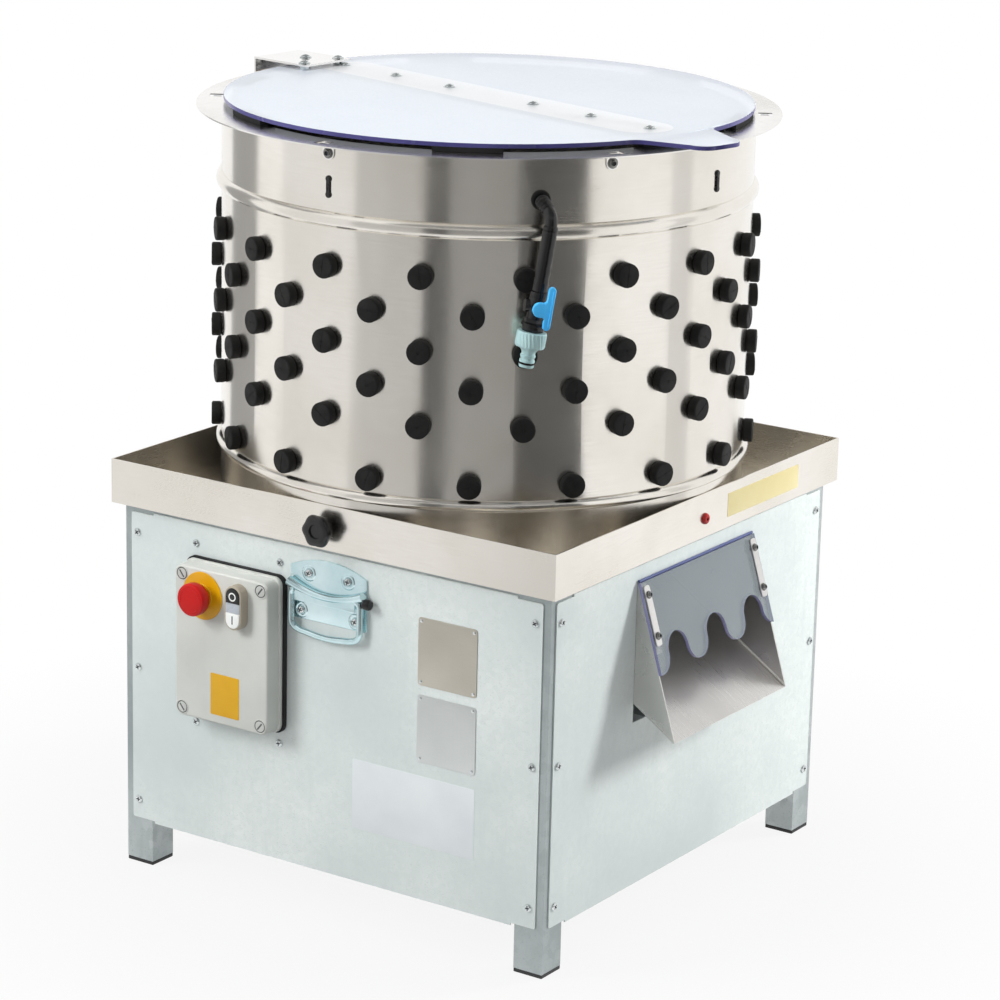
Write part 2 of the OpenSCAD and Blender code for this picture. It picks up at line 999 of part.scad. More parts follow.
module valve_lever() {
    color("royalblue")
        along_pipe()
            translate([0, 0, lever_at]) {
                translate([0, 5, 0])
                    rotate([-90, 0, 0])
                        cylinder(r = lever_pin_r, h = valve_boss_out - 4);
                translate([0, valve_boss_out + near, 0])
                    rotate([-90, 0, 0])
                        cylinder(r = lever_hub_r, h = lever_hub_t);
                translate([lever_w / 2, valve_boss_out + 2, 23 - lever_l])
                    cube([lever_w, lever_t, lever_l]);
            }
}

module hose_connector() {
    color([0.72, 0.82, 0.82])
        along_pipe()
            difference() {
                union() {
                    translate([0, 0, connector_top])
                        cylinder(r = connector_r, h = connector_low - connector_top);
                    for (i = [0:connector_ribs - 1])
                        rotate([0, 0, i * 360 / connector_ribs])
                            translate([connector_r, 0, connector_top + 2])
                                cylinder(r = connector_rib_r, h = connector_low - connector_top - 4);
                    translate([0, 0, connector_low])
                        cylinder(r1 = 12, r2 = tail_r - 1, h = neck_low - connector_low);
                    translate([0, 0, neck_low])
                        cylinder(r = tail_r, h = tail_low - neck_low);
                }
                translate([0, 0, connector_top - eps])
                    cylinder(r = thread_r + fit, h = connector_low - connector_top - 6);
                translate([0, 0, connector_top])
                    cylinder(r = connector_bore_r, h = tail_low);
                translate([0, 0, seal_at])
                    difference() {
                        cylinder(r = tail_r + eps, h = seal_w);
                        cylinder(r = tail_r - seal_d, h = seal_w);
                    }
            }
}

// Control box

module control_box() {
    color("darkgray")
        at_box() {
            difference() {
                translate([0, 0, -box_depth])
                    linear_extrude(box_depth + gasket_t - near)
                        square([box_w, box_h], center = true);
                translate([0, 0, box_wall - box_depth])
                    linear_extrude(box_depth + gasket_t)
                        square([box_w - 2 * box_wall, box_h - 2 * box_wall], center = true);
            }
            translate([0, 0, -sheet_t - box_flange_t])
                linear_extrude(box_flange_t)
                    difference() {
                        square([2 * box_screw_dx + 16, 2 * box_screw_dz + 16], center = true);
                        square([box_w - eps, box_h - eps], center = true);
                        for (sx = [-1, 1], sz = [-1, 1])
                            translate([sx * box_screw_dx, sz * box_screw_dz])
                                circle(screw_r + fit);
                    }
        }
}

module box_gasket() {
    color([0.1, 0.1, 0.1])
        at_box()
            linear_extrude(gasket_t)
                difference() {
                    rounded(gasket_w, gasket_h, 12);
                    square([box_w + 2 * near, box_h + 2 * near], center = true);
                }
}

module box_cover() {
    lip_h = 6;
    color("gray")
        at_box()
            difference() {
                union() {
                    difference() {
                        union() {
                            translate([0, 0, gasket_t])
                                linear_extrude(cover_d)
                                    rounded(cover_w, cover_h, 8);
                            translate([0, 0, gasket_t])
                                linear_extrude(lip_h)
                                    rounded(cover_w + 4, cover_h + 4, 10);
                        }
                        translate([0, 0, gasket_t - eps])
                            linear_extrude(cover_d - cover_wall + eps)
                                rounded(cover_w - 2 * cover_wall, cover_h - 2 * cover_wall, 6);
                    }
                    for (sx = [-1, 1], sz = [-1, 1])
                        translate([sx * corner_dx, sz * corner_dz, gasket_t])
                            cylinder(r = corner_post_r, h = cover_d - eps);
                }
                for (sx = [-1, 1], sz = [-1, 1])
                    translate([sx * corner_dx, sz * corner_dz, gasket_t - eps])
                        cylinder(r = corner_r + fit, h = cover_d + 2 * eps);
                translate([estop_dx, estop_dz, gasket_t])
                    cylinder(r = estop_neck_r + fit, h = cover_d + eps);
                for (s = [-1, 1])
                    translate([button_dx, button_dz + s * bezel_half, gasket_t])
                        cylinder(r = button_stem_r * 2, h = cover_d + eps);
            }
}

module box_screws() {
    slot_w = 2;
    color("gray")
        at_box()
            for (sx = [-1, 1], sz = [-1, 1])
                translate([sx * corner_dx, sz * corner_dz, gasket_t])
                    difference() {
                        cylinder(r = corner_r, h = cover_d + near);
                        rotate([0, 0, 45])
                            translate([-corner_r, -slot_w / 2, cover_d - 1.5])
                                cube([2 * corner_r, slot_w, slot_w]);
                    }
}

// Middle of the emergency stop on the cover face
module at_estop() {
    at_box()
        translate([estop_dx, estop_dz, cover_face])
            children();
}

module estop_base() {
    nut_t = 5;
    color("gold")
        at_estop()
            difference() {
                union() {
                    cylinder(r = estop_d / 2, h = estop_base_t);
                    cylinder(r = estop_collar_r, h = estop_collar_h);
                    translate([0, 0, -cover_wall - nut_t])
                        cylinder(r = estop_neck_r, h = cover_wall + nut_t + eps);
                    translate([0, 0, -cover_wall - nut_t])
                        cylinder(r = estop_collar_r, h = nut_t);
                }
                translate([0, 0, -cover_wall - nut_t - eps])
                    cylinder(r = estop_stem_r + run, h = cover_wall + nut_t + estop_collar_h + 2 * eps);
            }
}

module estop_stem() {
    back = -20;
    color("dimgray")
        at_estop()
            translate([0, 0, back])
                cylinder(r = estop_stem_r, h = estop_socket - near - back);
}

module estop_head() {
    r = estop_head_d / 2;
    socket_r = estop_stem_r + run;
    color("crimson")
        at_estop()
            rotate_extrude()
                polygon([
                    [socket_r, estop_head_low], [r - 4, estop_head_low], [r, estop_head_low + 7],
                    [r, estop_head_high - 3], [r - 2, estop_head_high - 0.5], [0, estop_head_high],
                    [0, estop_socket], [socket_r, estop_socket]
                ]);
}

// Middle of the double push button on the cover face
module at_buttons() {
    at_box()
        translate([button_dx, button_dz, cover_face])
            children();
}

// Pocket of one button in the bezel, narrowed by a clearance
module pocket(side, gap) {
    intersection() {
        slot_shape(bezel_half, pocket_r - gap);
        translate([-bezel_r, side > 0 ? bridge_half + gap : -bezel_half * 2 - bridge_half - gap])
            square([2 * bezel_r, 2 * bezel_half]);
    }
}

module button_bezel() {
    color("tan")
        at_buttons()
            difference() {
                linear_extrude(bezel_d)
                    slot_shape(bezel_half, bezel_r);
                for (side = [-1, 1]) {
                    translate([0, 0, bezel_floor])
                        linear_extrude(bezel_d)
                            pocket(side, 0);
                    translate([0, side * bezel_half, -eps])
                        cylinder(r = button_stem_r + run, h = bezel_d);
                }
            }
}

// One push button with its stem
module push_button(side) {
    at_buttons() {
        translate([0, 0, button_low])
            linear_extrude(button_top - button_low)
                pocket(side, near);
        translate([0, side * bezel_half, -10])
            cylinder(r = button_stem_r, h = button_low + 10 + eps);
    }
}

module stop_button() {
    color([0.1, 0.1, 0.1])
        push_button(1);
}

module start_button() {
    color("whitesmoke")
        push_button(-1);
}

module name_plates() {
    color("beige")
        for (drop = name_plate_drops)
            facing(0)
                translate([name_plate_x, leg_h - drop, panel_out])
                    linear_extrude(name_plate_t)
                        rounded(name_plate_w, name_plate_w, 4);
}

// Drop handles

module handle_plate(turn) {
    notch_back = barrel_r - wire_r - near;
    at_handle(turn)
        difference() {
            union() {
                linear_extrude(handle_t)
                    intersection() {
                        translate([0, (handle_up - handle_down) / 2])
                            rounded(2 * handle_half, handle_up + handle_down, 6);
                        translate([0, handle_up - handle_arch_r])
                            circle(handle_arch_r, $fn = 120);
                    }
                translate([-handle_half, 0, barrel_r])
                    rotate([0, 90, 0])
                        cylinder(r = barrel_r, h = 2 * handle_half);
            }
            translate([-handle_half - eps, 0, barrel_r])
                rotate([0, 90, 0])
                    cylinder(r = wire_r + run, h = 2 * handle_half + 2 * eps);
            translate([0, smile_r - smile_down, handle_t])
                cylinder(r = smile_r, h = 3 * barrel_r, $fn = 96);
            for (m = [0, 1])
                mirror([m, 0, 0])
                    translate([arm_x - bend_r - near, -2 * barrel_r, notch_back])
                        cube([notch_w, 2 * barrel_r + wire_r + near, 3 * barrel_r]);
            for (p = handle_screws)
                translate([p[0], p[1], -eps])
                    cylinder(r = screw_r + fit, h = handle_t + 2 * eps);
        }
}

module handle_plates() {
    color("lightsteelblue")
        for (turn = [0, 180])
            handle_plate(turn);
}

// Quarter bend of the bail wire
module wire_bend(r) {
    rotate_extrude(angle = 90)
        translate([r, 0])
            circle(wire_r);
}

module bail(turn) {
    corner_y = corner_bend_r - bail_drop;
    corner_x = arm_x - corner_bend_r;
    at_handle(turn)
        translate([0, 0, barrel_r]) {
            for (m = [0, 1])
                mirror([m, 0, 0]) {
                    translate([pin_in, 0, 0])
                        rotate([0, 90, 0])
                            cylinder(r = wire_r, h = arm_x - bend_r - pin_in);
                    translate([arm_x - bend_r, -bend_r, 0])
                        wire_bend(bend_r);
                    translate([arm_x, corner_y, 0])
                        rotate([-90, 0, 0])
                            cylinder(r = wire_r, h = -bend_r - corner_y);
                    translate([corner_x, corner_y, 0])
                        rotate([0, 0, -90])
                            wire_bend(corner_bend_r);
                }
            translate([-corner_x, -bail_drop, 0])
                rotate([0, 90, 0])
                    cylinder(r = wire_r, h = 2 * corner_x);
        }
}

module front_bail() {
    color("lightsteelblue")
        bail(0);
}

module rear_bail() {
    color("lightsteelblue")
        bail(180);
}

module bail_stops() {
    color([0.1, 0.1, 0.1])
        for (turn = [0, 180])
            at_handle(turn)
                translate([handle_half, 0, barrel_r])
                    rotate([0, 90, 0])
                        cylinder(r = stop_r, h = stop_l);
}

// Feather chute

module chute() {
    top = [chute_in_x, chute_top_z];
    lip = [lip_x, lip_z];
    color("silver")
        difference() {
            union() {
                for (s = [-1, 1])
                    translate([0, s * (chute_half - sheet_t / 2) + sheet_t / 2, 0])
                        rotate([90, 0, 0])
                            linear_extrude(sheet_t)
                                polygon([
                                    lip, [apex_x, apex_z], [chute_rail_x, chute_rail_z],
                                    [chute_rail_x, chute_top_z], top
                                ]);
                translate([0, chute_half, 0])
                    rotate([90, 0, 0])
                        linear_extrude(chute_w)
                            polygon([lip, top, top + chute_fall, lip + chute_fall]);
                on_slope()
                    for (s = [0, 1])
                        mirror([s, 0, 0])
                            translate([chute_half - shield_flange_w, -shield_flange_l, -sheet_t])
                                cube([shield_flange_w, shield_flange_l - 4, sheet_t]);
            }
            shield_holes();
        }
}

// Bolt holes down the two edges of the shield
module shield_holes() {
    on_slope()
        for (s = [-1, 1], d = shield_bolt_ss)
            translate([s * shield_bolt_x, -d, -2 * sheet_t])
                cylinder(r = shield_bolt_r + fit, h = shield_t + 6 * sheet_t);
}

module chute_shield() {
    color([0.75, 0.85, 0.92, 0.5])
        difference() {
            on_slope()
                linear_extrude(shield_t)
                    intersection() {
                        difference() {
                            union() {
                                translate([-chute_half, -lobe_s])
                                    square([chute_w, lobe_s - 1]);
                                for (i = [-3:2:3])
                                    translate([lobe_shift + 2 * lobe_r * i, -lobe_s])
                                        circle(lobe_r);
                            }
                            for (i = [-2:2:2])
                                translate([lobe_shift + 2 * lobe_r * i, -lobe_s])
                                    circle(lobe_r);
                        }
                        translate([-chute_half, -2 * lobe_s])
                            square([chute_w, 2 * lobe_s]);
                    }
            shield_holes();
        }
}

module shield_bolts() {
    color("gainsboro") {
        difference() {
            on_slope()
                for (s = [-1, 1])
                    translate([s * shield_bolt_x, -shield_strip_s, shield_t])
                        linear_extrude(sheet_t)
                            slot_shape((shield_strip_l - shield_strip_w) / 2, shield_strip_w / 2);
            shield_holes();
        }
        on_slope()
            for (s = [-1, 1], d = shield_bolt_ss)
                translate([s * shield_bolt_x, -d, shield_t + sheet_t])
                    button_bolt(shield_bolt_r, 5, shield_t + 2 * sheet_t, 5);
    }
}

// Lid

// Concave corner between the lid's edge and one side of its tab
module tab_corner() {
    side = [tab_tip - tab_round, tab_half] - [tab_root, tab_root_half];
    along = side / norm(side);
    out = [-along[1], along[0]];
    out_d = [tab_root, tab_root_half] * out + tab_fillet;
    along_d = sqrt((lid_r + tab_fillet) * (lid_r + tab_fillet) - out_d * out_d);
    mid = out * out_d + along * along_d;
    difference() {
        polygon([mid, mid - out * tab_fillet * 1.3, mid * (lid_r - 9) / norm(mid)]);
        translate(mid)
            circle(tab_fillet);
    }
}

// Outline of the lid with its lifting tab along x
module lid_outline() {
    circle(lid_r, $fn = 180);
    polygon([
        [0, tab_root_half], [tab_root, tab_root_half], [tab_tip - tab_round, tab_half],
        [tab_tip, tab_half - tab_round], [tab_tip, tab_round - tab_half],
        [tab_tip - tab_round, -tab_half], [tab_root, -tab_root_half], [0, -tab_root_half]
    ]);
    for (s = [-1, 1])
        translate([tab_tip - tab_round, s * (tab_half - tab_round)])
            circle(tab_round);
    tab_corner();
    mirror([0, 1])
        tab_corner();
}

module lid() {
    color([0.85, 0.9, 0.96, 0.6])
        difference() {
            rotate([0, 0, lid_turn])
                translate([0, 0, lid_z])
                    linear_extrude(lid_t)
                        lid_outline();
            lid_holes();
        }
}

// Bolt holes through the lid, its strip and the hinge arm
module lid_holes() {
    h = arm_gap + arm_t + lid_t + strip_t + 4;
    rotate([0, 0, lid_turn])
        for (x = strip_bolt_xs)
            translate([x + strip_mid, 0, lid_z - strip_t - 1])
                cylinder(r = strip_bolt_r + fit, h = h);
    rotate([0, 0, hinge_turn])
        for (p = arm_bolts)
            translate([p[0], p[1], lid_z - strip_t - 1])
                cylinder(r = strip_bolt_r + fit, h = h);
}

module lid_strip() {
    color("whitesmoke")
        difference() {
            rotate([0, 0, lid_turn])
                translate([strip_mid, 0, lid_z - strip_t])
                    rotate([0, 0, 90])
                        linear_extrude(strip_t)
                            slot_shape((strip_end - strip_start - strip_w) / 2, strip_w / 2);
            lid_holes();
        }
}

module lid_pads() {
    color([0.1, 0.1, 0.1])
        for (turn = pad_turns)
            rotate([0, 0, turn - 90 - pad_arc / 2])
                translate([0, 0, lid_z - pad_h])
                    rotate_extrude(angle = pad_arc)
                        translate([pad_in, 0])
                            square([lid_r - pad_in, pad_h]);
}

// Domed bolt through the lid with a nut under the stack
module lid_bolt(stack) {
    dome_r = 7.5;
    cylinder(r = dome_r, h = 1.2);
    translate([0, 0, 1.2])
        cylinder(r1 = dome_r, r2 = dome_r * 0.6, h = 2.4);
    translate([0, 0, -stack - 4])
        cylinder(r = strip_bolt_r, h = stack + 4 + eps);
    translate([0, 0, -stack - 4])
        cylinder(r = nut_r, h = 4, $fn = 6);
}

module lid_bolts() {
    color("gainsboro") {
        rotate([0, 0, lid_turn])
            for (x = strip_bolt_xs)
                translate([x + strip_mid, 0, lid_top])
                    lid_bolt(lid_t + strip_t);
        rotate([0, 0, hinge_turn])
            for (p = arm_bolts)
                translate([p[0], p[1], arm_z + arm_t]) {
                    lid_bolt(arm_t + arm_gap + lid_t + p[2]);
                    translate([0, 0, -arm_t - arm_gap])
                        cylinder(r = nut_r, h = arm_gap);
                }
    }
}

module hinge_arm() {
    leg_low = pivot_z + ear_r + 6;
    color("silver")
        rotate([0, 0, hinge_turn])
            difference() {
                union() {
                    translate([-pivot_x - arm_t / 2, -arm_half, arm_z])
                        cube([pivot_x - arm_in + arm_t / 2, 2 * arm_half, arm_t]);
                    translate([-pivot_x - arm_t / 2, -arm_half, leg_low])
                        cube([arm_t, 2 * arm_half, arm_z + arm_t - leg_low]);
                    translate([-pivot_x - arm_t / 2, -knuckle_half, pivot_z])
                        cube([arm_t, 2 * knuckle_half, leg_low - pivot_z + eps]);
                    translate([-pivot_x, knuckle_half, pivot_z])
                        rotate([90, 0, 0])
                            cylinder(r = knuckle_r, h = 2 * knuckle_half);
                }
                translate([-pivot_x, knuckle_half + eps, pivot_z])
                    rotate([90, 0, 0])
                        cylinder(r = pin_r + run, h = 2 * knuckle_half + 2 * eps);
                for (p = arm_bolts)
                    translate([p[0], p[1], arm_z - eps])
                        cylinder(r = strip_bolt_r + fit, h = arm_t + 2 * eps);
            }
}

module hinge_bracket() {
    back_x = drum_r + tab_play;
    ear_y = knuckle_half + near;
    color("silver")
        rotate([0, 0, hinge_turn])
            difference() {
                union() {
                    translate([-back_x - bracket_t, -bracket_half, pivot_z - bracket_up])
                        cube([bracket_t, 2 * bracket_half, 2 * bracket_up]);
                    for (m = [0, 1])
                        mirror([0, m, 0]) {
                            translate([-pivot_x, ear_y, pivot_z - ear_r])
                                cube([pivot_x - back_x - eps, ear_t, 2 * ear_r]);
                            translate([-pivot_x, ear_y + ear_t, pivot_z])
                                rotate([90, 0, 0])
                                    cylinder(r = ear_r, h = ear_t);
                        }
                }
                translate([-pivot_x, bracket_half, pivot_z])
                    rotate([90, 0, 0])
                        cylinder(r = pin_r + run, h = 2 * bracket_half);
                for (s = [-1, 1])
                    translate([-back_x - bracket_t - eps, s * bracket_bolt_x, bracket_bolt_z])
                        rotate([0, 90, 0])
                            cylinder(r = tab_hole_r, h = bracket_t + 2 * eps);
            }
}

module hinge_pin() {
    pin_half = knuckle_half + near + ear_t + 2;
    color("gainsboro")
        rotate([0, 0, hinge_turn])
            translate([-pivot_x, pin_half, pivot_z])
                rotate([90, 0, 0]) {
                    cylinder(r = pin_r, h = 2 * pin_half);
                    cylinder(r = pin_r + 1.5, h = 1.5);
                }
}

// Rotor and drive

module rotor_plate() {
    sweep_low = floor_z + sweep_gap;
    color("silver") {
        difference() {
            translate([0, 0, rotor_z])
                cylinder(r = rotor_r, h = rotor_t, $fn = 120);
            translate([0, 0, rotor_z - eps])
                cylinder(r = shaft_r + run, h = rotor_t + 2 * eps);
            for (ring = finger_rings, i = [0:ring[1] - 1])
                rotate([0, 0, i * 360 / ring[1]])
                    translate([ring[0], 0, rotor_z - eps])
                        cylinder(r = hole_r, h = rotor_t + 2 * eps);
        }
        for (turn = sweep_turns)
            rotate([0, 0, turn])
                translate([sweep_in, -sweep_t / 2, sweep_low])
                    cube([rotor_r - 10 - sweep_in, sweep_t, rotor_z - near - sweep_low]);
    }
}

module rotor_fingers() {
    color([0.1, 0.1, 0.1])
        for (ring = finger_rings, i = [0:ring[1] - 1])
            rotate([0, 0, i * 360 / ring[1]])
                translate([ring[0], 0, rotor_z])
                    rotate([180, 0, 0])
                        finger(rotor_t);
}

module rotor_hub() {
    color("gray")
        translate([0, 0, rotor_z - hub_h])
            difference() {
                cylinder(r = hub_r, h = hub_h);
                translate([0, 0, -eps])
                    cylinder(r = shaft_r + run, h = hub_h + 2 * eps);
            }
}

module main_shaft() {
    top = rotor_z + rotor_t;
    color("darkgray") {
        translate([0, 0, shaft_low])
            cylinder(r = shaft_r, h = top - shaft_low + eps);
        translate([0, 0, top])
            cylinder(r1 = cap_nut_r, r2 = cap_nut_r - 4, h = cap_nut_h);
    }
}

// Pulley with one belt groove, on its own axis
module pulley(r, bore_r) {
    difference() {
        cylinder(r = r, h = pulley_h, $fn = 96);
        translate([0, 0, -eps])
            cylinder(r = bore_r, h = pulley_h + 2 * eps);
        translate([0, 0, (pulley_h - groove_w) / 2])
            difference() {
                cylinder(r = r + eps, h = groove_w, $fn = 96);
                cylinder(r = r - groove_d, h = groove_w, $fn = 96);
            }
    }
}

module drive_pulley() {
    color("dimgray")
        translate([0, 0, pulley_z])
            pulley(pulley_r, shaft_r + run);
}

module motor_pulley() {
    color("dimgray")
        translate([motor_x, motor_y, pulley_z]) {
            pulley(motor_pulley_r, motor_shaft_r - eps);
            translate([0, 0, -4])
                cylinder(r = motor_shaft_r, h = motor_shaft_top - pulley_z + 4);
        }
}

// Belt wrapped round both pulleys, with its two runs let into the wrapped ends
module drive_belt() {
    r1 = pulley_r - groove_d + near;
    r2 = motor_pulley_r - groove_d + near;
    wrap = acos((r1 - r2) / belt_span);
    run_l = belt_span * sin(wrap) + 2 * belt_lap;
    run_t = belt_t - 2 * run_slim;
    color([0.1, 0.1, 0.1])
        translate([0, 0, pulley_z + (pulley_h - belt_w) / 2])
            rotate([0, 0, belt_turn]) {
                rotate([0, 0, wrap])
                    rotate_extrude(angle = 360 - 2 * wrap)
                        translate([r1, 0])
                            square([belt_t, belt_w]);
                translate([belt_span, 0, 0])
                    rotate([0, 0, -wrap])
                        rotate_extrude(angle = 2 * wrap)
                            translate([r2, 0])
                                square([belt_t, belt_w]);
                rotate([0, 0, wrap])
                    translate([r1 + run_slim, belt_lap - run_l, 0])
                        cube([run_t, run_l, belt_w]);
                rotate([0, 0, -wrap])
                    translate([r1 + run_slim, -belt_lap, 0])
                        cube([run_t, run_l, belt_w]);
            }
}

module motor() {
    flange_d = motor_r + 10;
    box_l = [80, 50, 60];
    color("slategray")
        translate([motor_x, motor_y, motor_z])
            difference() {
                union() {
                    cylinder(r = flange_d, h = motor_flange_h);
                    cylinder(r = motor_r, h = motor_flange_h + motor_h);
                    translate([0, 0, motor_flange_h + motor_h])
                        cylinder(r = motor_r + 2, h = fan_h);
                    translate([-box_l[0] / 2, -motor_r - 30, 70])
                        cube(box_l);
                }
                translate([0, 0, -eps])
                    cylinder(r = motor_shaft_r + run, h = motor_shaft_top - motor_z + 1);
            }
}

module mounting_plates() {
    color("gray") {
        for (p = [[top_rail_z - plate_t, upper_plate_x], [low_rail_z, plate_half_x]])
            translate([0, 0, p[0]])
                difference() {
                    translate([-plate_half_x, -plate_half_y, 0])
                        cube([plate_half_x + p[1], 2 * plate_half_y, plate_t]);
                    translate([0, 0, -eps])
                        cylinder(r = shaft_r + 1, h = plate_t + 2 * eps);
                }
        difference() {
            translate([motor_x - motor_plate_half, motor_plate_y[0], low_rail_z])
                cube([2 * motor_plate_half, motor_plate_y[1] - motor_plate_y[0], plate_t]);
            translate([motor_x, motor_y, low_rail_z - eps])
                cylinder(r = motor_shaft_r + 3, h = plate_t + 2 * eps);
        }
    }
}

// Flanged bearing housing standing on z = 0
module housing(h) {
    difference() {
        union() {
            cylinder(r = housing_flange_r, h = housing_flange_h);
            cylinder(r = housing_r, h = h);
        }
        translate([0, 0, -eps])
            cylinder(r = shaft_r + 1, h = h + 2 * eps);
        translate([0, 0, h - bearing_h])
            cylinder(r = bearing_r + run, h = bearing_h + eps);
    }
}

module bearing_housings() {
    color("dimgray") {
        translate([0, 0, top_rail_z])
            housing(upper_housing_h);
        translate([0, 0, low_rail_z + plate_t])
            housing(lower_housing_h);
    }
}

module bearings() {
    color("silver")
        for (z = [top_rail_z + upper_housing_h, low_rail_z + plate_t + lower_housing_h])
            translate([0, 0, z - bearing_h])
                difference() {
                    cylinder(r = bearing_r, h = bearing_h);
                    translate([0, 0, -eps])
                        cylinder(r = shaft_r + run, h = bearing_h + 2 * eps);
                }
}

module mains_gland() {
    thread_l = 10;
    color([0.15, 0.15, 0.15])
        facing(180)
            translate([gland_x, gland_z, panel_out])
                difference() {
                    union() {
                        cylinder(r = gland_nut_r, h = gland_nut_h, $fn = 6);
                        cylinder(r1 = gland_r + 1, r2 = gland_r - 3, h = gland_nut_h + gland_dome_h);
                        translate([0, 0, -sheet_t - thread_l])
                            cylinder(r = gland_r, h = sheet_t + thread_l + eps);
                        translate([0, 0, -sheet_t - gland_nut_h])
                            cylinder(r = gland_nut_r, h = gland_nut_h, $fn = 6);
                    }
                    translate([0, 0, -sheet_t - thread_l - eps])
                        cylinder(r = gland_bore_r, h = sheet_t + thread_l + gland_nut_h + gland_dome_h + 1);
                }
}

legs();
foot_caps();
frame_rails();
front_panel();
right_panel();
rear_panel();
left_panel();
panel_screws();
tray();
drum();
top_flange();
flange_bolts();
drum_fingers();
spray_ring();
ring_ties();
inlet_grommet();
inlet_elbow();
inlet_hose();
valve_body();
valve_lever();
hose_connector();
control_box();
box_gasket();
box_cover();
box_screws();
estop_base();
estop_stem();
estop_head();
button_bezel();
stop_button();
start_button();
name_plates();
handle_plates();
front_bail();
rear_bail();
bail_stops();
tray_knob();
drum_screws();
chute();
chute_shield();
shield_bolts();
lid();
lid_strip();
lid_pads();
lid_bolts();
hinge_arm();
hinge_bracket();
hinge_pin();
rotor_plate();
rotor_fingers();
rotor_hub();
main_shaft();
drive_pulley();
drive_belt();
motor();
motor_pulley();
mounting_plates();
bearing_housings();
bearings();
mains_gland();
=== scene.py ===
"""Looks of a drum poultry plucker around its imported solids. Drawn in millimetres, placed in metres."""

import json
import math
import random

import bmesh
import bpy
from mathutils import Matrix, Vector


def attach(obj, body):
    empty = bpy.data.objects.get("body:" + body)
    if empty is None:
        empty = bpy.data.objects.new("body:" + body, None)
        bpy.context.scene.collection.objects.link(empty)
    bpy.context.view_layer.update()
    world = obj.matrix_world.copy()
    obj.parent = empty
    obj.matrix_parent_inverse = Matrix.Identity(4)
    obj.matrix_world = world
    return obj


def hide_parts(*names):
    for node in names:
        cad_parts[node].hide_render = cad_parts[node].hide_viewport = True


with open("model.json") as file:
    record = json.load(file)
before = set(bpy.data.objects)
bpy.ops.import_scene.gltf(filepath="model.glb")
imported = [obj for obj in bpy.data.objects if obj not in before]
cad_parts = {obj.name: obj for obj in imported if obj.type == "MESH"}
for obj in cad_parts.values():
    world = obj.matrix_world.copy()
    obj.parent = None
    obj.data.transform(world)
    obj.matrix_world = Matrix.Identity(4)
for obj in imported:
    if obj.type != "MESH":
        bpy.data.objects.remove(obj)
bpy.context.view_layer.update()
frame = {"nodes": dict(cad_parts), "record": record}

MM = 0.001
NODES = frame["nodes"]
BODY_OF = {n: b for b, nodes in frame["record"]["behaviour"]["bodies"].items() for n in nodes}
SCENE = bpy.context.scene

# Sizes shared with the solids
DRUM_R = 325.0
SHEET = 1.5
PANEL_OUT = 316.0
TRAY_OUT = 327.0
BOX_X, BOX_Z = -138.0, 324.0
BOX_SCREW_X, BOX_SCREW_Y = 60.0, 85.5
BOX_TAB_X, BOX_TAB_Y = 64.4, 115.0
PANEL_SCREW_X, PANEL_SCREW_ZS = 294.5, (86, 261, 436)
PLATE_X, PLATE_ZS, PLATE_W, PLATE_PIN = 173.0, (370, 274), 84.0, 37.5
COVER_FACE = 33.0
HANDLE_Z = 414.0
HANDLE_SCREWS = [(-29, 20.5), (29, 20.5), (-40.3, -27), (40.3, -27)]
WIRE_R, WIRE_Z = 4.0, 8.0
ROLL_HALF, FLAP_HALF = 55.5, 45.0
RING_Z = 907.0
INLET_TURN = 45
TOP_ROW, LOW_ROW, ROW_STEP, CLOSE_ROWS = 815.0, 569.2, 44.2, 5
FINGER_ROWS = [(TOP_ROW - ROW_STEP * i, i % 2 / 2) for i in range(CLOSE_ROWS)] + [(LOW_ROW, 0.5)]
FINGERS_PER_ROW = 17
ROTOR_RINGS = [(90, 8), (150, 12), (205, 16)]
ROTOR_Z, ROTOR_T = 540.0, 4.0
TAB_TURNS = range(0, 360, 60)
TAB_BOLT_Z, FLANGE_LOW = 946.5, 958.5
BRACKET_BOLT_X, BRACKET_BOLT_Z = 12.0, 939.0
CLAMP_Z, KNOB_Z = 494.5, 497.5
LID_TURN, LID_TOP = -13.3, 971.0
LID_STRIP_L, LID_STRIP_HALF = 600.0, 39.0
LID_BOLT_XS, LID_BOLT_SHIFT = (-275, -176, -75.5, 75.5, 176, 275), 1.85
HINGE_TURN, ARM_TOP = -7.0, 978.5
ARM_BOLTS = [(-284, -31, 12.5), (-284, 30, 17.5), (-316, 4, 12.5)]
CHUTE_TILT = math.degrees(math.atan(58.6 / 188.5))
CHUTE_SLOPE = math.radians(33.5)
CHUTE_HALF, LIP_X, LIP_Z = 132.0, 374.9, 255.5
SHIELD_BOLT_X, SHIELD_BOLT_DROPS = 123.5, (17.5, 68)

# Edges that turn by more degrees than this stay crisp, on drawn forms and on the softened solids
FORM_SHARP, SOLID_SHARP = 38, 42


# Frames of the solids, in millimetres

def shift(x, y, z):
    return Matrix.Translation((x, y, z))


def turn(axis, degrees):
    return Matrix.Rotation(math.radians(degrees), 4, axis)


def facing(degrees):
    """x to the right, y up, z away from the drum axis."""
    return turn("Z", degrees) @ turn("X", 90)


BOX = facing(0) @ shift(BOX_X, BOX_Z, PANEL_OUT)
ESTOP = BOX @ shift(-28, 63, COVER_FACE)
BUTTONS = BOX @ shift(28, 61, COVER_FACE)
PIPE = facing(INLET_TURN) @ shift(8, RING_Z - 14, DRUM_R + 29.5) @ turn("Z", -8.7) @ turn("X", 90)
LEVER = PIPE @ shift(0, 0, 104) @ turn("X", -90)
SLOPE = shift(316.3, 0, 444) @ turn("Z", 90) @ turn("X", 90 - CHUTE_TILT)
HANDLES = {where: facing(angle) @ shift(0, HANDLE_Z, PANEL_OUT)
           for where, angle in (("front", 0), ("rear", 180))}


def both(distance):
    """The two places at one distance from the middle."""
    return -distance, distance


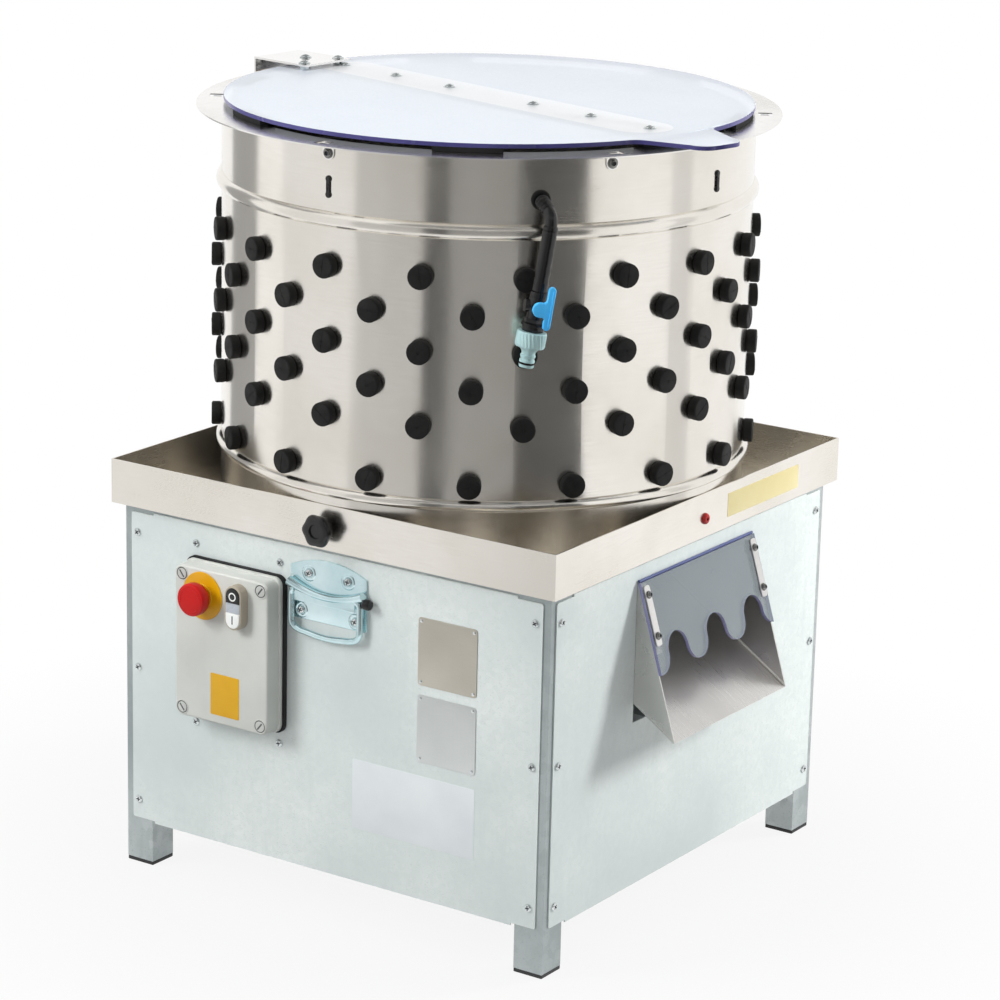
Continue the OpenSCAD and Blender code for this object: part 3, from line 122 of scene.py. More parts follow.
# Finishes

def tint(code):
    """Linear colour of a screen hex code."""
    parts = [int(code[i:i + 2], 16) / 255 for i in (0, 2, 4)]
    return [c / 12.92 if c <= 0.04045 else ((c + 0.055) / 1.055) ** 2.4 for c in parts]


class Finish:
    """A procedural material round one Principled shader, in the object's own coordinates."""

    def __init__(self, name, rough=0.5, metallic=0.0, **sockets):
        self.material = bpy.data.materials.new(name)
        self.material.use_nodes = True
        self.tree = self.material.node_tree
        self.shader = self.tree.nodes["Principled BSDF"]
        self.place = self.tree.nodes.new("ShaderNodeTexCoord").outputs["Object"]
        self.shader.inputs["Roughness"].default_value = rough
        self.shader.inputs["Metallic"].default_value = metallic
        for socket, value in sockets.items():
            self.shader.inputs[socket.replace("_", " ")].default_value = value

    def node(self, kind, **sockets):
        made = self.tree.nodes.new(kind)
        for socket, value in sockets.items():
            self.feed(made.inputs[socket.replace("_", " ")], value)
        return made

    def feed(self, socket, value):
        if isinstance(value, bpy.types.NodeSocket):
            self.tree.links.new(value, socket)
        else:
            socket.default_value = value

    def noise(self, scale, stretch=(1, 1, 1), detail=3.0):
        """Soft noise from 0 to 1, with features about 1 / scale metres long."""
        moved = self.node("ShaderNodeMapping", Vector=self.place, Scale=stretch)
        made = self.node("ShaderNodeTexNoise", Vector=moved.outputs[0], Scale=scale, Detail=detail)
        return made.outputs["Fac"]

    def cells(self, scale):
        """One random value for each crystal-like cell."""
        made = self.node("ShaderNodeTexVoronoi", Vector=self.place, Scale=scale)
        return self.node("ShaderNodeSeparateColor", Color=made.outputs["Color"]).outputs[0]

    def span(self, value, low, high, start=0.3, end=0.7):
        """Carries a value from start..end over to low..high."""
        limits = {"From_Min": start, "From_Max": end, "To_Min": low, "To_Max": high}
        return self.node("ShaderNodeMapRange", Value=value, **limits).outputs["Result"]

    def mix(self, value, first, second):
        """Colour from first to second as the value goes from 0 to 1."""
        made = self.tree.nodes.new("ShaderNodeMix")
        made.data_type = "RGBA"
        self.feed(made.inputs[0], value)
        self.feed(made.inputs[6], first)
        self.feed(made.inputs[7], second)
        return made.outputs[2]

    def colour(self, value):
        self.feed(self.shader.inputs["Base Color"], value)

    def rough(self, value):
        self.feed(self.shader.inputs["Roughness"], value)

    def bump(self, height, depth, strength):
        """Raises the surface by up to depth millimetres."""
        made = self.node("ShaderNodeBump", Height=height, Strength=strength, Distance=depth * MM)
        self.feed(self.shader.inputs["Normal"], made.outputs[0])


def solid(code):
    """Opaque colour of a screen hex code."""
    return (*tint(code), 1.0)


def moulded(name, light, dark, rough, grain, depth, mottle=14, **sockets):
    """Moulded plastic or rubber: slow tone changes, fine surface texture, uneven gloss."""
    made = Finish(name, **sockets)
    slow = made.noise(mottle, detail=4.0)
    fine = made.noise(grain, detail=2.0)
    made.colour(made.mix(made.span(slow, 0, 1), solid(light), solid(dark)))
    made.rough(made.span(slow, rough - 0.06, rough + 0.08))
    made.bump(fine, depth, 0.6)
    return made


def brushed(name, light, dark, rough, stretch, grain=30, depth=0.002):
    """Sheet steel: streaks along the grain, faint handling marks."""
    made = Finish(name, metallic=1.0)
    streak = made.noise(grain, stretch, 5.0)
    marks = made.noise(7, detail=5.0)
    tone = made.mix(made.span(marks, 0, 1, 0.4, 0.75), solid(light), solid(dark))
    made.colour(made.mix(made.span(streak, 0, 0.25), tone, solid(dark)))
    grained = made.span(streak, rough - 0.02, rough + 0.03)
    marked = made.span(marks, -0.02, 0.05, 0.45, 0.7)
    total = made.node("ShaderNodeMath", Value=grained)
    made.feed(total.inputs[1], marked)
    made.rough(total.outputs[0])
    made.bump(streak, depth, 0.4)
    return made


def rolled_round(made):
    """Turns the grain of a sheet round the drum axis, so that reflections stretch upward."""
    around = made.tree.nodes.new("ShaderNodeTangent")
    around.direction_type = "RADIAL"
    around.axis = "Z"
    made.feed(made.shader.inputs["Tangent"], around.outputs[0])
    made.shader.inputs["Anisotropic"].default_value = 0.85
    made.shader.inputs["Anisotropic Rotation"].default_value = 0.25
    return made


def zinc_coated(name, light, dark, rough, metallic, flake=160):
    """Galvanised steel: crystal flakes, clouds and short rolling marks."""
    made = Finish(name, metallic=metallic)
    flakes = made.cells(flake)
    clouds = made.noise(5, detail=5.0)
    rolled = made.noise(60, (1, 1, 0.12), 4.0)
    specks = made.noise(330, (1, 1, 1.6), 2.0)
    base = made.mix(made.span(clouds, 0, 1, 0.35, 0.7), solid(light), solid(dark))
    spangle = made.mix(made.span(flakes, 0, 0.3, 0, 1), base, solid(dark))
    worn = made.mix(made.span(rolled, 0, 0.35, 0.55, 0.75), spangle, solid(dark))
    made.colour(made.mix(made.span(specks, 0, 0.8, 0.6, 0.74), worn, solid(dark)))
    made.rough(made.span(flakes, rough - 0.06, rough + 0.08, 0, 1))
    made.bump(flakes, 0.01, 0.25)
    return made


def plated(name, light, dark, rough):
    """Zinc-plated hardware: clean metal with a slight colour cloud and slow waves."""
    made = Finish(name, metallic=1.0)
    clouds = made.noise(25, detail=3.0)
    made.colour(made.mix(made.span(clouds, 0, 1), solid(light), solid(dark)))
    made.rough(made.span(clouds, rough - 0.03, rough + 0.05))
    made.bump(clouds, 0.05, 0.2)
    return made


def clear_sheet(name, light, dark, rough, cover):
    """Plastic sheet with a milky film that covers what lies behind it, and fine scuffs."""
    made = Finish(name, Alpha=cover, IOR=1.49)
    haze = made.noise(4, detail=3.0)
    scuffs = made.noise(300, (1, 3, 1), 2.0)
    made.colour(made.mix(made.span(haze, 0, 1), solid(light), solid(dark)))
    made.rough(made.span(scuffs, rough - 0.02, rough + 0.04))
    return made


def paint_strip_light(made, code, length, half, degrees):
    """Paints the light of the round-ended strip behind a clear sheet onto the sheet as a whiter band, across
    the drum axis.
    """
    def step(operation, *values):
        node = made.tree.nodes.new("ShaderNodeMath")
        node.operation = operation
        for socket, value in zip(node.inputs, values):
            made.feed(socket, value)
        return node.outputs[0]

    turned = made.node("ShaderNodeMapping", Vector=made.place, Rotation=(0, 0, math.radians(-degrees)))
    along, across = made.node("ShaderNodeSeparateXYZ", Vector=turned.outputs[0]).outputs[:2]
    past_end = step("MAXIMUM", step("SUBTRACT", step("ABSOLUTE", along), (length / 2 - half) * MM), 0.0)
    off = step("SQRT", step("ADD", step("POWER", past_end, 2.0), step("MULTIPLY", across, across)))
    bare = made.shader.inputs["Base Color"].links[0].from_socket
    strip_light_share = made.span(off, 1, 0, (half - 0.4) * MM, half * MM)
    made.colour(made.mix(strip_light_share, bare, solid(code)))
    return made


FINISH = {
    "drum": rolled_round(brushed("drum_steel", "f1ede6", "e4dfd5", 0.2, (1, 1, 24), depth=0.0002)),
    "tray": brushed("tray_steel", "f7f3ec", "ebe5da", 0.24, (1, 1, 24), depth=0.0002),
    "sheet": brushed("sheet_steel", "e4e2df", "cbc8c4", 0.3, (1, 20, 1)),
    "bright": brushed("bright_steel", "f0efec", "e0deda", 0.2, (20, 1, 1)),
    "arm": brushed("arm_steel", "fbfaf8", "f1efec", 0.12, (20, 1, 1), depth=0.0001),
    "flange": brushed("flange_steel", "f9f7f4", "ebe8e3", 0.22, (1, 1, 1), grain=120),
    "panel": zinc_coated("galvanised_panel", "dfe6e4", "c9d2d1", 0.46, 0.15),
    "tube": zinc_coated("galvanised_tube", "c4caca", "98a1a2", 0.4, 0.7, flake=90),
    "plated": plated("zinc_plate", "e4e8e8", "c6cdce", 0.2),
    "blue_zinc": plated("blue_zinc_plate", "dbeff2", "c8e2e7", 0.17),
    "bolt": plated("bolt_steel", "9c9c9a", "7e7e7c", 0.24),
    # Painted shade: a flat dark grey for the floors of screw and bolt recesses, and for plates set where
    # shade falls.
    "recess": moulded("recess_painted_shade", "3a3d3f", "2b2e30", 0.5, 900, 0.03),
    "weld": moulded("weld_bead", "ebe9e4", "dad7d1", 0.4, 500, 0.06),
    "machined": plated("machined_steel", "cfcfcd", "a9a9a6", 0.22),
    "cast": moulded("cast_housing", "6d7a80", "59656b", 0.5, 500, 0.12, metallic=0.2),
    "motor": moulded("motor_paint", "53646f", "44535d", 0.42, 600, 0.08),
    "belt": moulded("belt_rubber", "26262a", "18181a", 0.7, 700, 0.1),
    "rubber": moulded("finger_rubber", "191918", "0e0e0e", 0.6, 800, 0.08, mottle=60,
                      Specular_IOR_Level=0.3),
    "black": moulded("black_plastic", "161617", "0c0c0d", 0.24, 1200, 0.03),
    "soft_black": moulded("black_foam", "1b1b1c", "0f0f10", 0.75, 900, 0.12),
    "cap": moulded("foot_plastic", "262728", "18191a", 0.5, 1000, 0.05),
    "cover": moulded("box_grey", "c9cbc6", "bec0bb", 0.4, 1400, 0.03),
    "slot_grey": moulded("box_screw_grey", "c2c4c0", "b4b6b2", 0.36, 1400, 0.03),
    # Painted shade: dark grey for the ring gaps and slot floors of the box cover's screws.
    "gap": moulded("box_gap_painted_shade", "5c5e5c", "4a4c4a", 0.6, 1400, 0.03),
    "body_grey": moulded("box_back", "9b9d9c", "8e9090", 0.5, 1400, 0.03),
    "red": moulded("stop_red", "c20f0c", "ab0b09", 0.34, 1500, 0.02, Specular_IOR_Level=0.3),
    "red_screw": moulded("screw_red", "b3221f", "95191a", 0.35, 900, 0.03),
    "yellow": moulded("disc_yellow", "dba408", "d19a06", 0.4, 1300, 0.02),
    "taupe": moulded("bezel_taupe", "aca391", "a0978a", 0.4, 1200, 0.03),
    "button_black": moulded("button_black", "191a1c", "101113", 0.32, 1300, 0.02),
    "button_white": moulded("button_white", "eceeec", "e2e4e2", 0.34, 1300, 0.02),
    "lens": moulded("lens_grey", "b4bac2", "a8aeb6", 0.3, 1000, 0.03),
    "white_strip": moulded("strip_white", "fbfbfa", "f2f3f3", 0.45, 800, 0.04),
    "lever": moulded("lever_blue", "50c2ff", "42b4fb", 0.3, 1100, 0.03),
    "connector": moulded("connector_cyan", "aecccd", "a0c0c2", 0.36, 1100, 0.03),
    # Painted light: the lid is whitened where the white strip beneath it shows through.
    "lid": paint_strip_light(clear_sheet("lid_sheet", "e8eef6", "e1e8f1", 0.2, 0.7), "f6f8fa",
                  LID_STRIP_L, LID_STRIP_HALF, LID_TURN),
    "lid_edge": moulded("lid_edge", "4e4a86", "37336a", 0.25, 600, 0.03),
    "shield": clear_sheet("shield_sheet", "a3adb2", "969fa5", 0.08, 0.44),
    "shield_edge": moulded("shield_edge", "a3a2cc", "8583b4", 0.25, 600, 0.03),
    "trim_blue": moulded("trim_blue", "5f6a96", "4b5682", 0.3, 600, 0.03),
    "plate_warm": brushed("plate_beige", "cfcabf", "bfbaae", 0.38, (1, 1, 20), grain=60),
    "plate_cool": brushed("plate_silver", "dcdfde", "cdd1d0", 0.4, (1, 1, 20), grain=60),
    "strip_steel": brushed("strip_steel", "eceae8", "dbd8d6", 0.36, (1, 1, 12), grain=60),
    "paper": moulded("label_white", "dde2e4", "d4dadd", 0.42, 1600, 0.01),
    "label": moulded("label_yellow", "d6a510", "cc990c", 0.4, 1600, 0.01),
    "label_pale": moulded("label_straw", "d6cb9c", "cdbf88", 0.42, 1600, 0.01),
}
FINISH = {key: made.material for key, made in FINISH.items()}


# Mesh tools

def round_outline(angle):
    return 1.0


def hex_outline(angle):
    return math.cos(math.pi / 6) / math.cos((angle + math.pi / 6) % (math.pi / 3) - math.pi / 6)


def lobe_outline(angle):
    return 1 + 0.05 * math.cos(6 * angle)


def cross_outline(angle):
    """Cross-shaped recess that reaches one unit, with arms half a unit wide."""
    off = abs((angle + math.pi / 4) % (math.pi / 2) - math.pi / 4)
    half_width = 0.25
    return min(1.0, half_width / max(math.sin(off), 0.05))


def slot_outline(angle):
    """Straight recess that reaches one unit both ways."""
    half_width = 0.19
    return min(1.0, half_width / max(abs(math.sin(angle)), 0.05))


def arc(x, y, r, start, end, steps):
    """Points on a circle round (x, y), from one angle to another in degrees."""
    angles = [math.radians(start + (end - start) * i / steps) for i in range(steps + 1)]
    return [(x + r * math.cos(a), y + r * math.sin(a)) for a in angles]


def rounded(w, h, r, steps=6):
    """Rectangle with round corners."""
    x, y = w / 2 - r, h / 2 - r
    return (arc(x, -y, r, -90, 0, steps) + arc(x, y, r, 0, 90, steps)
            + arc(-x, y, r, 90, 180, steps) + arc(-x, -y, r, 180, 270, steps))


def stadium(half, r, steps=16):
    """Slot shape along y."""
    return arc(0, half, r, 0, 180, steps) + arc(0, -half, r, 180, 360, steps)


def shrink(outline, d):
    """The outline moved inward by d."""
    moved = []
    for i, p in enumerate(outline):
        a = (Vector(p) - Vector(outline[i - 1])).normalized()
        b = (Vector(outline[(i + 1) % len(outline)]) - Vector(p)).normalized()
        inward = Vector((-a.y - b.y, a.x + b.x))
        inward *= 2 / inward.length_squared
        moved.append((p[0] + inward.x * d, p[1] + inward.y * d))
    return moved


def quarter(edge, z, steps=4, down=False):
    """Levels (inset, height) of a rounded edge that ends on height z."""
    angles = [math.pi / 2 * i / steps for i in range(steps + 1)]
    made = [(edge * (1 - math.cos(a)), edge * (1 - math.sin(a))) for a in angles]
    if down:
        return [(inset, z + drop) for inset, drop in reversed(made)]
    return [(inset, z - drop) for inset, drop in made]


class Form:
    """The mesh of one piece, with a finish number for each face."""

    def __init__(self):
        self.bm = bmesh.new()

    def skin(self, rings, finish=0, caps=(False, False), closed=False):
        """Joins rings of points, in millimetres, into one surface."""
        made = [[self.bm.verts.new(p * MM) for p in ring] for ring in rings]
        pairs = list(zip(made, made[1:])) + ([(made[-1], made[0])] if closed else [])
        faces = []
        for low, high in pairs:
            for i in range(max(len(low), len(high))):
                j = i + 1
                corners = [low[i % len(low)], low[j % len(low)], high[j % len(high)], high[i % len(high)]]
                faces.append(list(dict.fromkeys(corners)))
        faces += [ring for ring, cap in ((made[0], caps[0]), (made[-1], caps[1])) if cap]
        for corners in faces:
            if len(corners) > 2:
                self.bm.faces.new(corners).material_index = finish

    def lathe(self, profile, at, steps=32, finish=0, closed=False):
        """Turns (radius, height, optional outline) points about z."""
        rings = []
        for r, z, *given in profile:
            outline = given[0] if given else round_outline
            angles = [2 * math.pi * i / steps for i in range(steps)] if r else [0.0]
            ring = [(r * outline(a) * math.cos(a), r * outline(a) * math.sin(a), z) for a in angles]
            rings.append([at @ Vector(p) for p in ring])
        self.skin(rings, finish, closed=closed)

    def loft(self, outline, levels, at, finish=0):
        """Stacks an outline at (inset, height) levels and closes both ends."""
        rings = []
        for inset, z in levels:
            edge = shrink(outline, inset) if inset else outline
            rings.append([at @ Vector((x, y, z)) for x, y in edge])
        self.skin(rings, finish, (True, True))

    def slab(self, outline, low, high, at, edge=0.0, edge_low=0.0, finish=0):
        """A flat piece between two heights, with rounded edges above and below."""
        levels = (quarter(edge_low, low, down=True) if edge_low else [(0, low)])
        levels += quarter(edge, high) if edge else [(0, high)]
        self.loft(outline, levels, at, finish)

    def tube(self, path, radius, at, steps):
        """A round bar along a path; radius is one number or one for each point."""
        points = [at @ Vector(p) for p in path]
        radii = radius if isinstance(radius, list) else [radius] * len(points)
        angles = [2 * math.pi * k / steps for k in range(steps)]
        rings = []
        side = None
        for i, p in enumerate(points):
            ahead = (points[min(i + 1, len(points) - 1)] - points[max(i - 1, 0)]).normalized()
            side = ahead.orthogonal() if side is None else side - ahead * side.dot(ahead)
            side.normalize()
            other = ahead.cross(side)
            rings.append([p + (side * math.cos(a) + other * math.sin(a)) * radii[i] for a in angles])
        self.skin(rings, caps=(True, True))

    def piece(self, name, node, finishes, stands_for=True):
        """Makes the mesh a piece on a node's body, which stands for that node unless told not to."""
        bmesh.ops.recalc_face_normals(self.bm, faces=self.bm.faces)
        place(self.bm, name, node, finishes, FORM_SHARP, stands_for)


def place(bm, name, node, finishes, sharp, stands_for=True):
    """Turns a mesh into a piece that rides with a node's body; edges over sharp degrees stay crisp."""
    mesh = bpy.data.meshes.new(name)
    bm.to_mesh(mesh)
    bm.free()
    for key in finishes:
        mesh.materials.append(FINISH[key])
    mesh.shade_smooth()
    mesh.set_sharp_from_angle(angle=math.radians(sharp))
    made = bpy.data.objects.new(name, mesh)
    SCENE.collection.objects.link(made)
    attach(made, BODY_OF[node])
    if stands_for:
        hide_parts(node)
    return made


def soften(node, finishes, edge, steps=2, chosen=None, paint=None):
    """The node's own shape with its edges rounded; paint picks a face's finish from its normal."""
    bm = bmesh.new()
    bm.from_mesh(NODES[node].data)
    bmesh.ops.remove_doubles(bm, verts=bm.verts, dist=1e-6)
    bmesh.ops.dissolve_limit(bm, angle_limit=math.radians(0.6), verts=bm.verts, edges=bm.edges)
    edges = [e for e in bm.edges if e.is_manifold and e.calc_face_angle(0) > math.radians(40)
             and (chosen is None or chosen(e))]
    bmesh.ops.bevel(bm, geom=edges, offset=edge * MM, segments=steps, profile=0.5, affect="EDGES",
                    clamp_overlap=True)
    for face in bm.faces:
        face.material_index = paint(face.normal) if paint else 0
    made = place(bm, node + "_dressed", node, finishes, SOLID_SHARP)
    made.modifiers.new("flat_faces", "WEIGHTED_NORMAL").keep_sharp = True


# Fasteners

def pan_screw(form, at):
    """Round head with a cross recess, whose walls and floor take the second finish as painted shade."""
    form.lathe([(5, 0), (5, 0.5), (4.75, 1.4), (4.0, 2.15), (3.3, 2.5), (3.0, 2.6, cross_outline)], at, 48)
    form.lathe([(3.0, 2.6, cross_outline), (2.6, 1.3, cross_outline), (0, 1.1)], at, 48, 1)


def button_bolt(form, at, r, stack, washer):
    """Button head on a washer, with its nut behind the stack; the hex socket takes the second finish as
    painted shade.
    """
    form.lathe([(washer, 0), (washer, 0.75), (washer - 0.3, 1.0), (r, 1.0), (r, 1.7), (r * 0.94, 2.6),
                (r * 0.8, 3.4), (r * 0.66, 3.9), (r * 0.58, 4.0, hex_outline)], at, 36)
    form.lathe([(r * 0.58, 4.0, hex_outline), (r * 0.54, 2.4, hex_outline), (0, 2.2)], at, 36, 1)
    form.lathe([(3, 0), (3, -stack), (6.4, -stack, hex_outline), (6.5, -stack - 0.6, hex_outline),
                (6.5, -stack - 4.4, hex_outline), (6.1, -stack - 5, hex_outline), (3, -stack - 5),
                (2.6, -stack - 6), (0, -stack - 6)], at, 24)


def lid_bolt(form, at, stack, spacer=0):
    """Low head on a washer, with a nut behind the stack and a spacer sleeve where one is given."""
    form.lathe([(7.5, 0), (7.5, 0.9), (7.1, 1.2), (5.6, 1.2), (5.4, 2.2), (4.4, 3.1), (2.8, 3.5),
                (2.2, 3.6, hex_outline), (2.1, 2.4, hex_outline), (0, 2.2)], at, 36)
    if spacer:
        form.lathe([(6.4, -2.5), (6.5, -3), (6.5, -2.0 - spacer), (6.4, -2.5 - spacer)], at, 30)
    form.lathe([(3, 0), (3, -stack), (6.5, -stack, hex_outline), (6.5, -stack - 3.5, hex_outline),
                (5.8, -stack - 4, hex_outline), (0, -stack - 4)], at, 24)


# Camera at the photograph's viewpoint

AZIMUTH, ELEVATION, ROLL = (math.radians(angle) for angle in (33.917, 16.057, 1.328))
CAMERA_AT = (2.45684, -3.61092, 1.71635)
LENS, SENSOR, FAR = 130.31, 36.0, 100.0


def make_camera():
    right = Vector((math.cos(AZIMUTH), math.sin(AZIMUTH), 0))
    level = math.cos(ELEVATION)
    back = Vector((math.sin(AZIMUTH) * level, -math.cos(AZIMUTH) * level, math.sin(ELEVATION)))
    up = back.cross(right)
    across = right * math.cos(ROLL) + up * math.sin(ROLL)
    upward = up * math.cos(ROLL) - right * math.sin(ROLL)
    data = bpy.data.cameras.new("camera")
    data.lens = LENS
    data.sensor_width = SENSOR
    data.clip_end = FAR
    camera = bpy.data.objects.new("camera", data)
    rotation = Matrix((across, upward, back)).transposed().to_4x4()
    camera.matrix_world = Matrix.Translation(CAMERA_AT) @ rotation
    SCENE.collection.objects.link(camera)
    SCENE.camera = camera


# Studio, in metres

AMBIENT = 0.22
FLOOR_R, FLOOR_Z = 9.0, -0.0005
FLOOR_CLOTH = [(1.15, 0.002), (4.0, 0.002), (4.3, 3.0)]
CEILING_CLOTH = [(4.2, 3.6), (2.4, 4.6), (0.05, 5.0)]
LAMP_AIM = Vector((0, 0, 0.55))


def grey(level):
    return (level, level, level, 1)


def seen_directly(tree):
    """1 for camera, glossy and transmission rays, 0 for the rest."""
    path = tree.nodes.new("ShaderNodeLightPath")
    total = path.outputs["Is Camera Ray"]
    for ray in ("Is Glossy Ray", "Is Transmission Ray"):
        joined = tree.nodes.new("ShaderNodeMath")
        joined.operation = "MAXIMUM"
        tree.links.new(total, joined.inputs[0])
        tree.links.new(path.outputs[ray], joined.inputs[1])
        total = joined.outputs[0]
    return total


def make_world():
    world = bpy.data.worlds.new("studio")
    world.use_nodes = True
    SCENE.world = world
    tree = world.node_tree
    light = tree.nodes["Background"]
    light.inputs["Color"].default_value = (0.99, 0.995, 1.0, 1)
    light.inputs["Strength"].default_value = AMBIENT
    white = tree.nodes.new("ShaderNodeBackground")
    white.inputs["Color"].default_value = grey(1)
    blend = tree.nodes.new("ShaderNodeMixShader")
    tree.links.new(seen_directly(tree), blend.inputs[0])
    tree.links.new(light.outputs[0], blend.inputs[1])
    tree.links.new(white.outputs[0], blend.inputs[2])
    tree.links.new(blend.outputs[0], tree.nodes["World Output"].inputs["Surface"])


def stage_mesh(name, corners, faces, material):
    """A mesh of the studio, which isn't part of the object."""
    mesh = bpy.data.meshes.new(name)
    mesh.from_pydata(corners, [], faces)
    mesh.materials.append(material)
    made = bpy.data.objects.new(name, mesh)
    SCENE.collection.objects.link(made)
    return made


def make_floor():
    """A grey floor that takes the shadow, and turns white to the eye away from the part."""
    floor = Finish("floor", rough=0.9)
    cloud = floor.noise(1.5)
    floor.colour(floor.mix(floor.span(cloud, 0, 1), grey(0.34), grey(0.36)))
    tree = floor.tree
    glow = tree.nodes.new("ShaderNodeEmission")
    glow.inputs["Color"].default_value = grey(1)
    share = tree.nodes.new("ShaderNodeMath")
    share.operation = "MULTIPLY"
    away = floor.node("ShaderNodeVectorMath", Vector=floor.place)
    away.operation = "LENGTH"
    tree.links.new(floor.span(away.outputs["Value"], 0.9, 1.0, 0.45, 0.95), share.inputs[1])
    blend = tree.nodes.new("ShaderNodeMixShader")
    tree.links.new(seen_directly(tree), share.inputs[0])
    tree.links.new(share.outputs[0], blend.inputs[0])
    tree.links.new(floor.shader.outputs[0], blend.inputs[1])
    tree.links.new(glow.outputs[0], blend.inputs[2])
    tree.links.new(blend.outputs[0], tree.nodes["Material Output"].inputs["Surface"])
    steps = 64
    border = [(x, y, FLOOR_Z) for x, y in arc(0, 0, FLOOR_R, 0, 360 - 360 / steps, steps - 1)]
    stage_mesh("floor", border, [tuple(range(steps))], floor.material)


def make_flag(name, start, end, light, dark, section):
    """A cloth seen only in reflections: a section of (radius, height) swept from one bearing to another."""
    cloth = Finish(name + "_cloth", rough=0.9)
    cloth.colour(grey(0))
    folds = cloth.noise(0.8, (1, 1, 0.2), 1.0)
    shown = cloth.mix(cloth.span(folds, 0, 1), grey(light), grey(dark))
    cloth.feed(cloth.shader.inputs["Emission Color"], shown)
    cloth.shader.inputs["Emission Strength"].default_value = 1.0
    cloth.shader.inputs["Specular IOR Level"].default_value = 0.0
    steps = 16
    corners = []
    for i in range(steps + 1):
        bearing = math.radians(start + (end - start) * i / steps)
        corners += [(r * math.sin(bearing), -r * math.cos(bearing), z) for r, z in section]
    width = len(section)
    starts = [width * i + k for i in range(steps) for k in range(width - 1)]
    faces = [(a, a + 1, a + width + 1, a + width) for a in starts]
    made = stage_mesh(name, corners, faces, cloth.material)
    made.visible_camera = False
    made.visible_diffuse = False
    made.visible_transmission = False
    made.visible_shadow = False


def make_lamp(name, bearing, distance, height, size, power):
    """A soft box turned to the part, kept out of reflections."""
    data = bpy.data.lights.new(name, "AREA")
    data.shape = "RECTANGLE"
    data.size, data.size_y = size
    data.energy = power
    lamp = bpy.data.objects.new(name, data)
    b = math.radians(bearing)
    lamp.location = (distance * math.sin(b), -distance * math.cos(b), height)
    lamp.rotation_mode = "QUATERNION"
    lamp.rotation_quaternion = (LAMP_AIM - lamp.location).to_track_quat("-Z", "Y")
    lamp.visible_glossy = False
    SCENE.collection.objects.link(lamp)


make_camera()
make_world()
make_floor()
make_flag("pale_left_flag", -60, -21, 0.88, 0.8, FLOOR_CLOTH)
make_flag("grey_left_flag", -21, 9, 0.6, 0.52, FLOOR_CLOTH)
make_flag("slit_flag", 9, 19, 0.14, 0.1, FLOOR_CLOTH)
make_flag("grey_flag", 19, 47, 0.38, 0.3, FLOOR_CLOTH)
make_flag("dark_flag", 47, 76, 0.13, 0.09, FLOOR_CLOTH)
make_flag("pale_right_flag", 116, 128, 0.78, 0.7, FLOOR_CLOTH)
make_flag("far_left_flag", -104, -78, 0.42, 0.36, FLOOR_CLOTH)
make_flag("front_ceiling", -12, 118, 0.34, 0.26, CEILING_CLOTH)
make_flag("rear_ceiling", 158, 306, 0.34, 0.26, CEILING_CLOTH)
make_lamp("left_box", -36, 2.8, 1.9, (1.1, 1.5), 75)
make_lamp("right_box", 142, 2.8, 1.2, (0.45, 0.7), 108)
make_lamp("top_box", 20, 0.4, 3.0, (2.2, 2.2), 46)
make_lamp("fill_box", 36, 4.0, 1.6, (1.6, 1.6), 24)


# Fingers

def finger(form, at, wall, spin):
    """Rubber finger with its head above z = 0 and its ribbed body below."""
    ribs, root_r, tip_r, length = 9, 11.3, 7.6, 90.0
    first, last = -wall - 3.0, 6.0 - length
    profile = [(0, 11.6), (1.0, 11.6), (1.5, 12), (12.4, 12), (13.5, 11.75), (14.2, 11.2), (14.5, 10.3),
               (14.5, 2.2), (14.15, 0.9), (13.4, 0.2), (10, 0.1), (10, -wall - 0.5), (11.6, -wall - 0.5)]
    for i in range(ribs):
        share = i / (ribs - 1)
        r = root_r + (tip_r - root_r) * share
        z = first + (last - first) * share
        profile += [(r - 0.3, z + 2.2), (r + 0.75, z + 0.8), (r + 0.75, z - 0.8), (r - 0.35, z - 2.2)]
    profile += [(7.0, 3.0 - length), (5.6, 0.8 - length), (3, -length), (0, -length)]
    form.lathe(profile, at, 20)
    form.slab(rounded(25.4, 0.8, 0.35, 2), 11.9, 12.3, at @ turn("Z", spin), 0.15)


chance = random.Random(11)
drum_set = Form()
for z, half_step in FINGER_ROWS:
    for i in range(FINGERS_PER_ROW):
        seat = facing((i + half_step) * 360 / FINGERS_PER_ROW) @ shift(0, z, DRUM_R)
        finger(drum_set, seat, SHEET, chance.uniform(0, 180))
drum_set.piece("drum_finger_set", "drum_fingers", ["rubber"])

rotor_set = Form()
for radius, count in ROTOR_RINGS:
    for i in range(count):
        seat = turn("Z", i * 360 / count) @ shift(radius, 0, ROTOR_Z) @ turn("X", 180)
        finger(rotor_set, seat, ROTOR_T, chance.uniform(0, 180))
rotor_set.piece("rotor_finger_set", "rotor_fingers", ["rubber"])


# Screws and bolts

screws = Form()
for side in range(4):
    for x in both(PANEL_SCREW_X):
        for z in PANEL_SCREW_ZS:
            seat = facing(90 * side) @ shift(x, z, PANEL_OUT)
            pan_screw(screws, seat @ turn("Z", chance.uniform(0, 90)))
for x in both(BOX_TAB_X):
    for y in both(BOX_TAB_Y):
        pan_screw(screws, BOX @ shift(x, y, 0) @ turn("Z", chance.uniform(0, 90)))
for seat in HANDLES.values():
    for x, y in HANDLE_SCREWS:
        pan_screw(screws, seat @ shift(x, y, 2) @ turn("Z", chance.uniform(0, 90)))
screws.piece("panel_screw_set", "panel_screws", ["plated", "recess"])

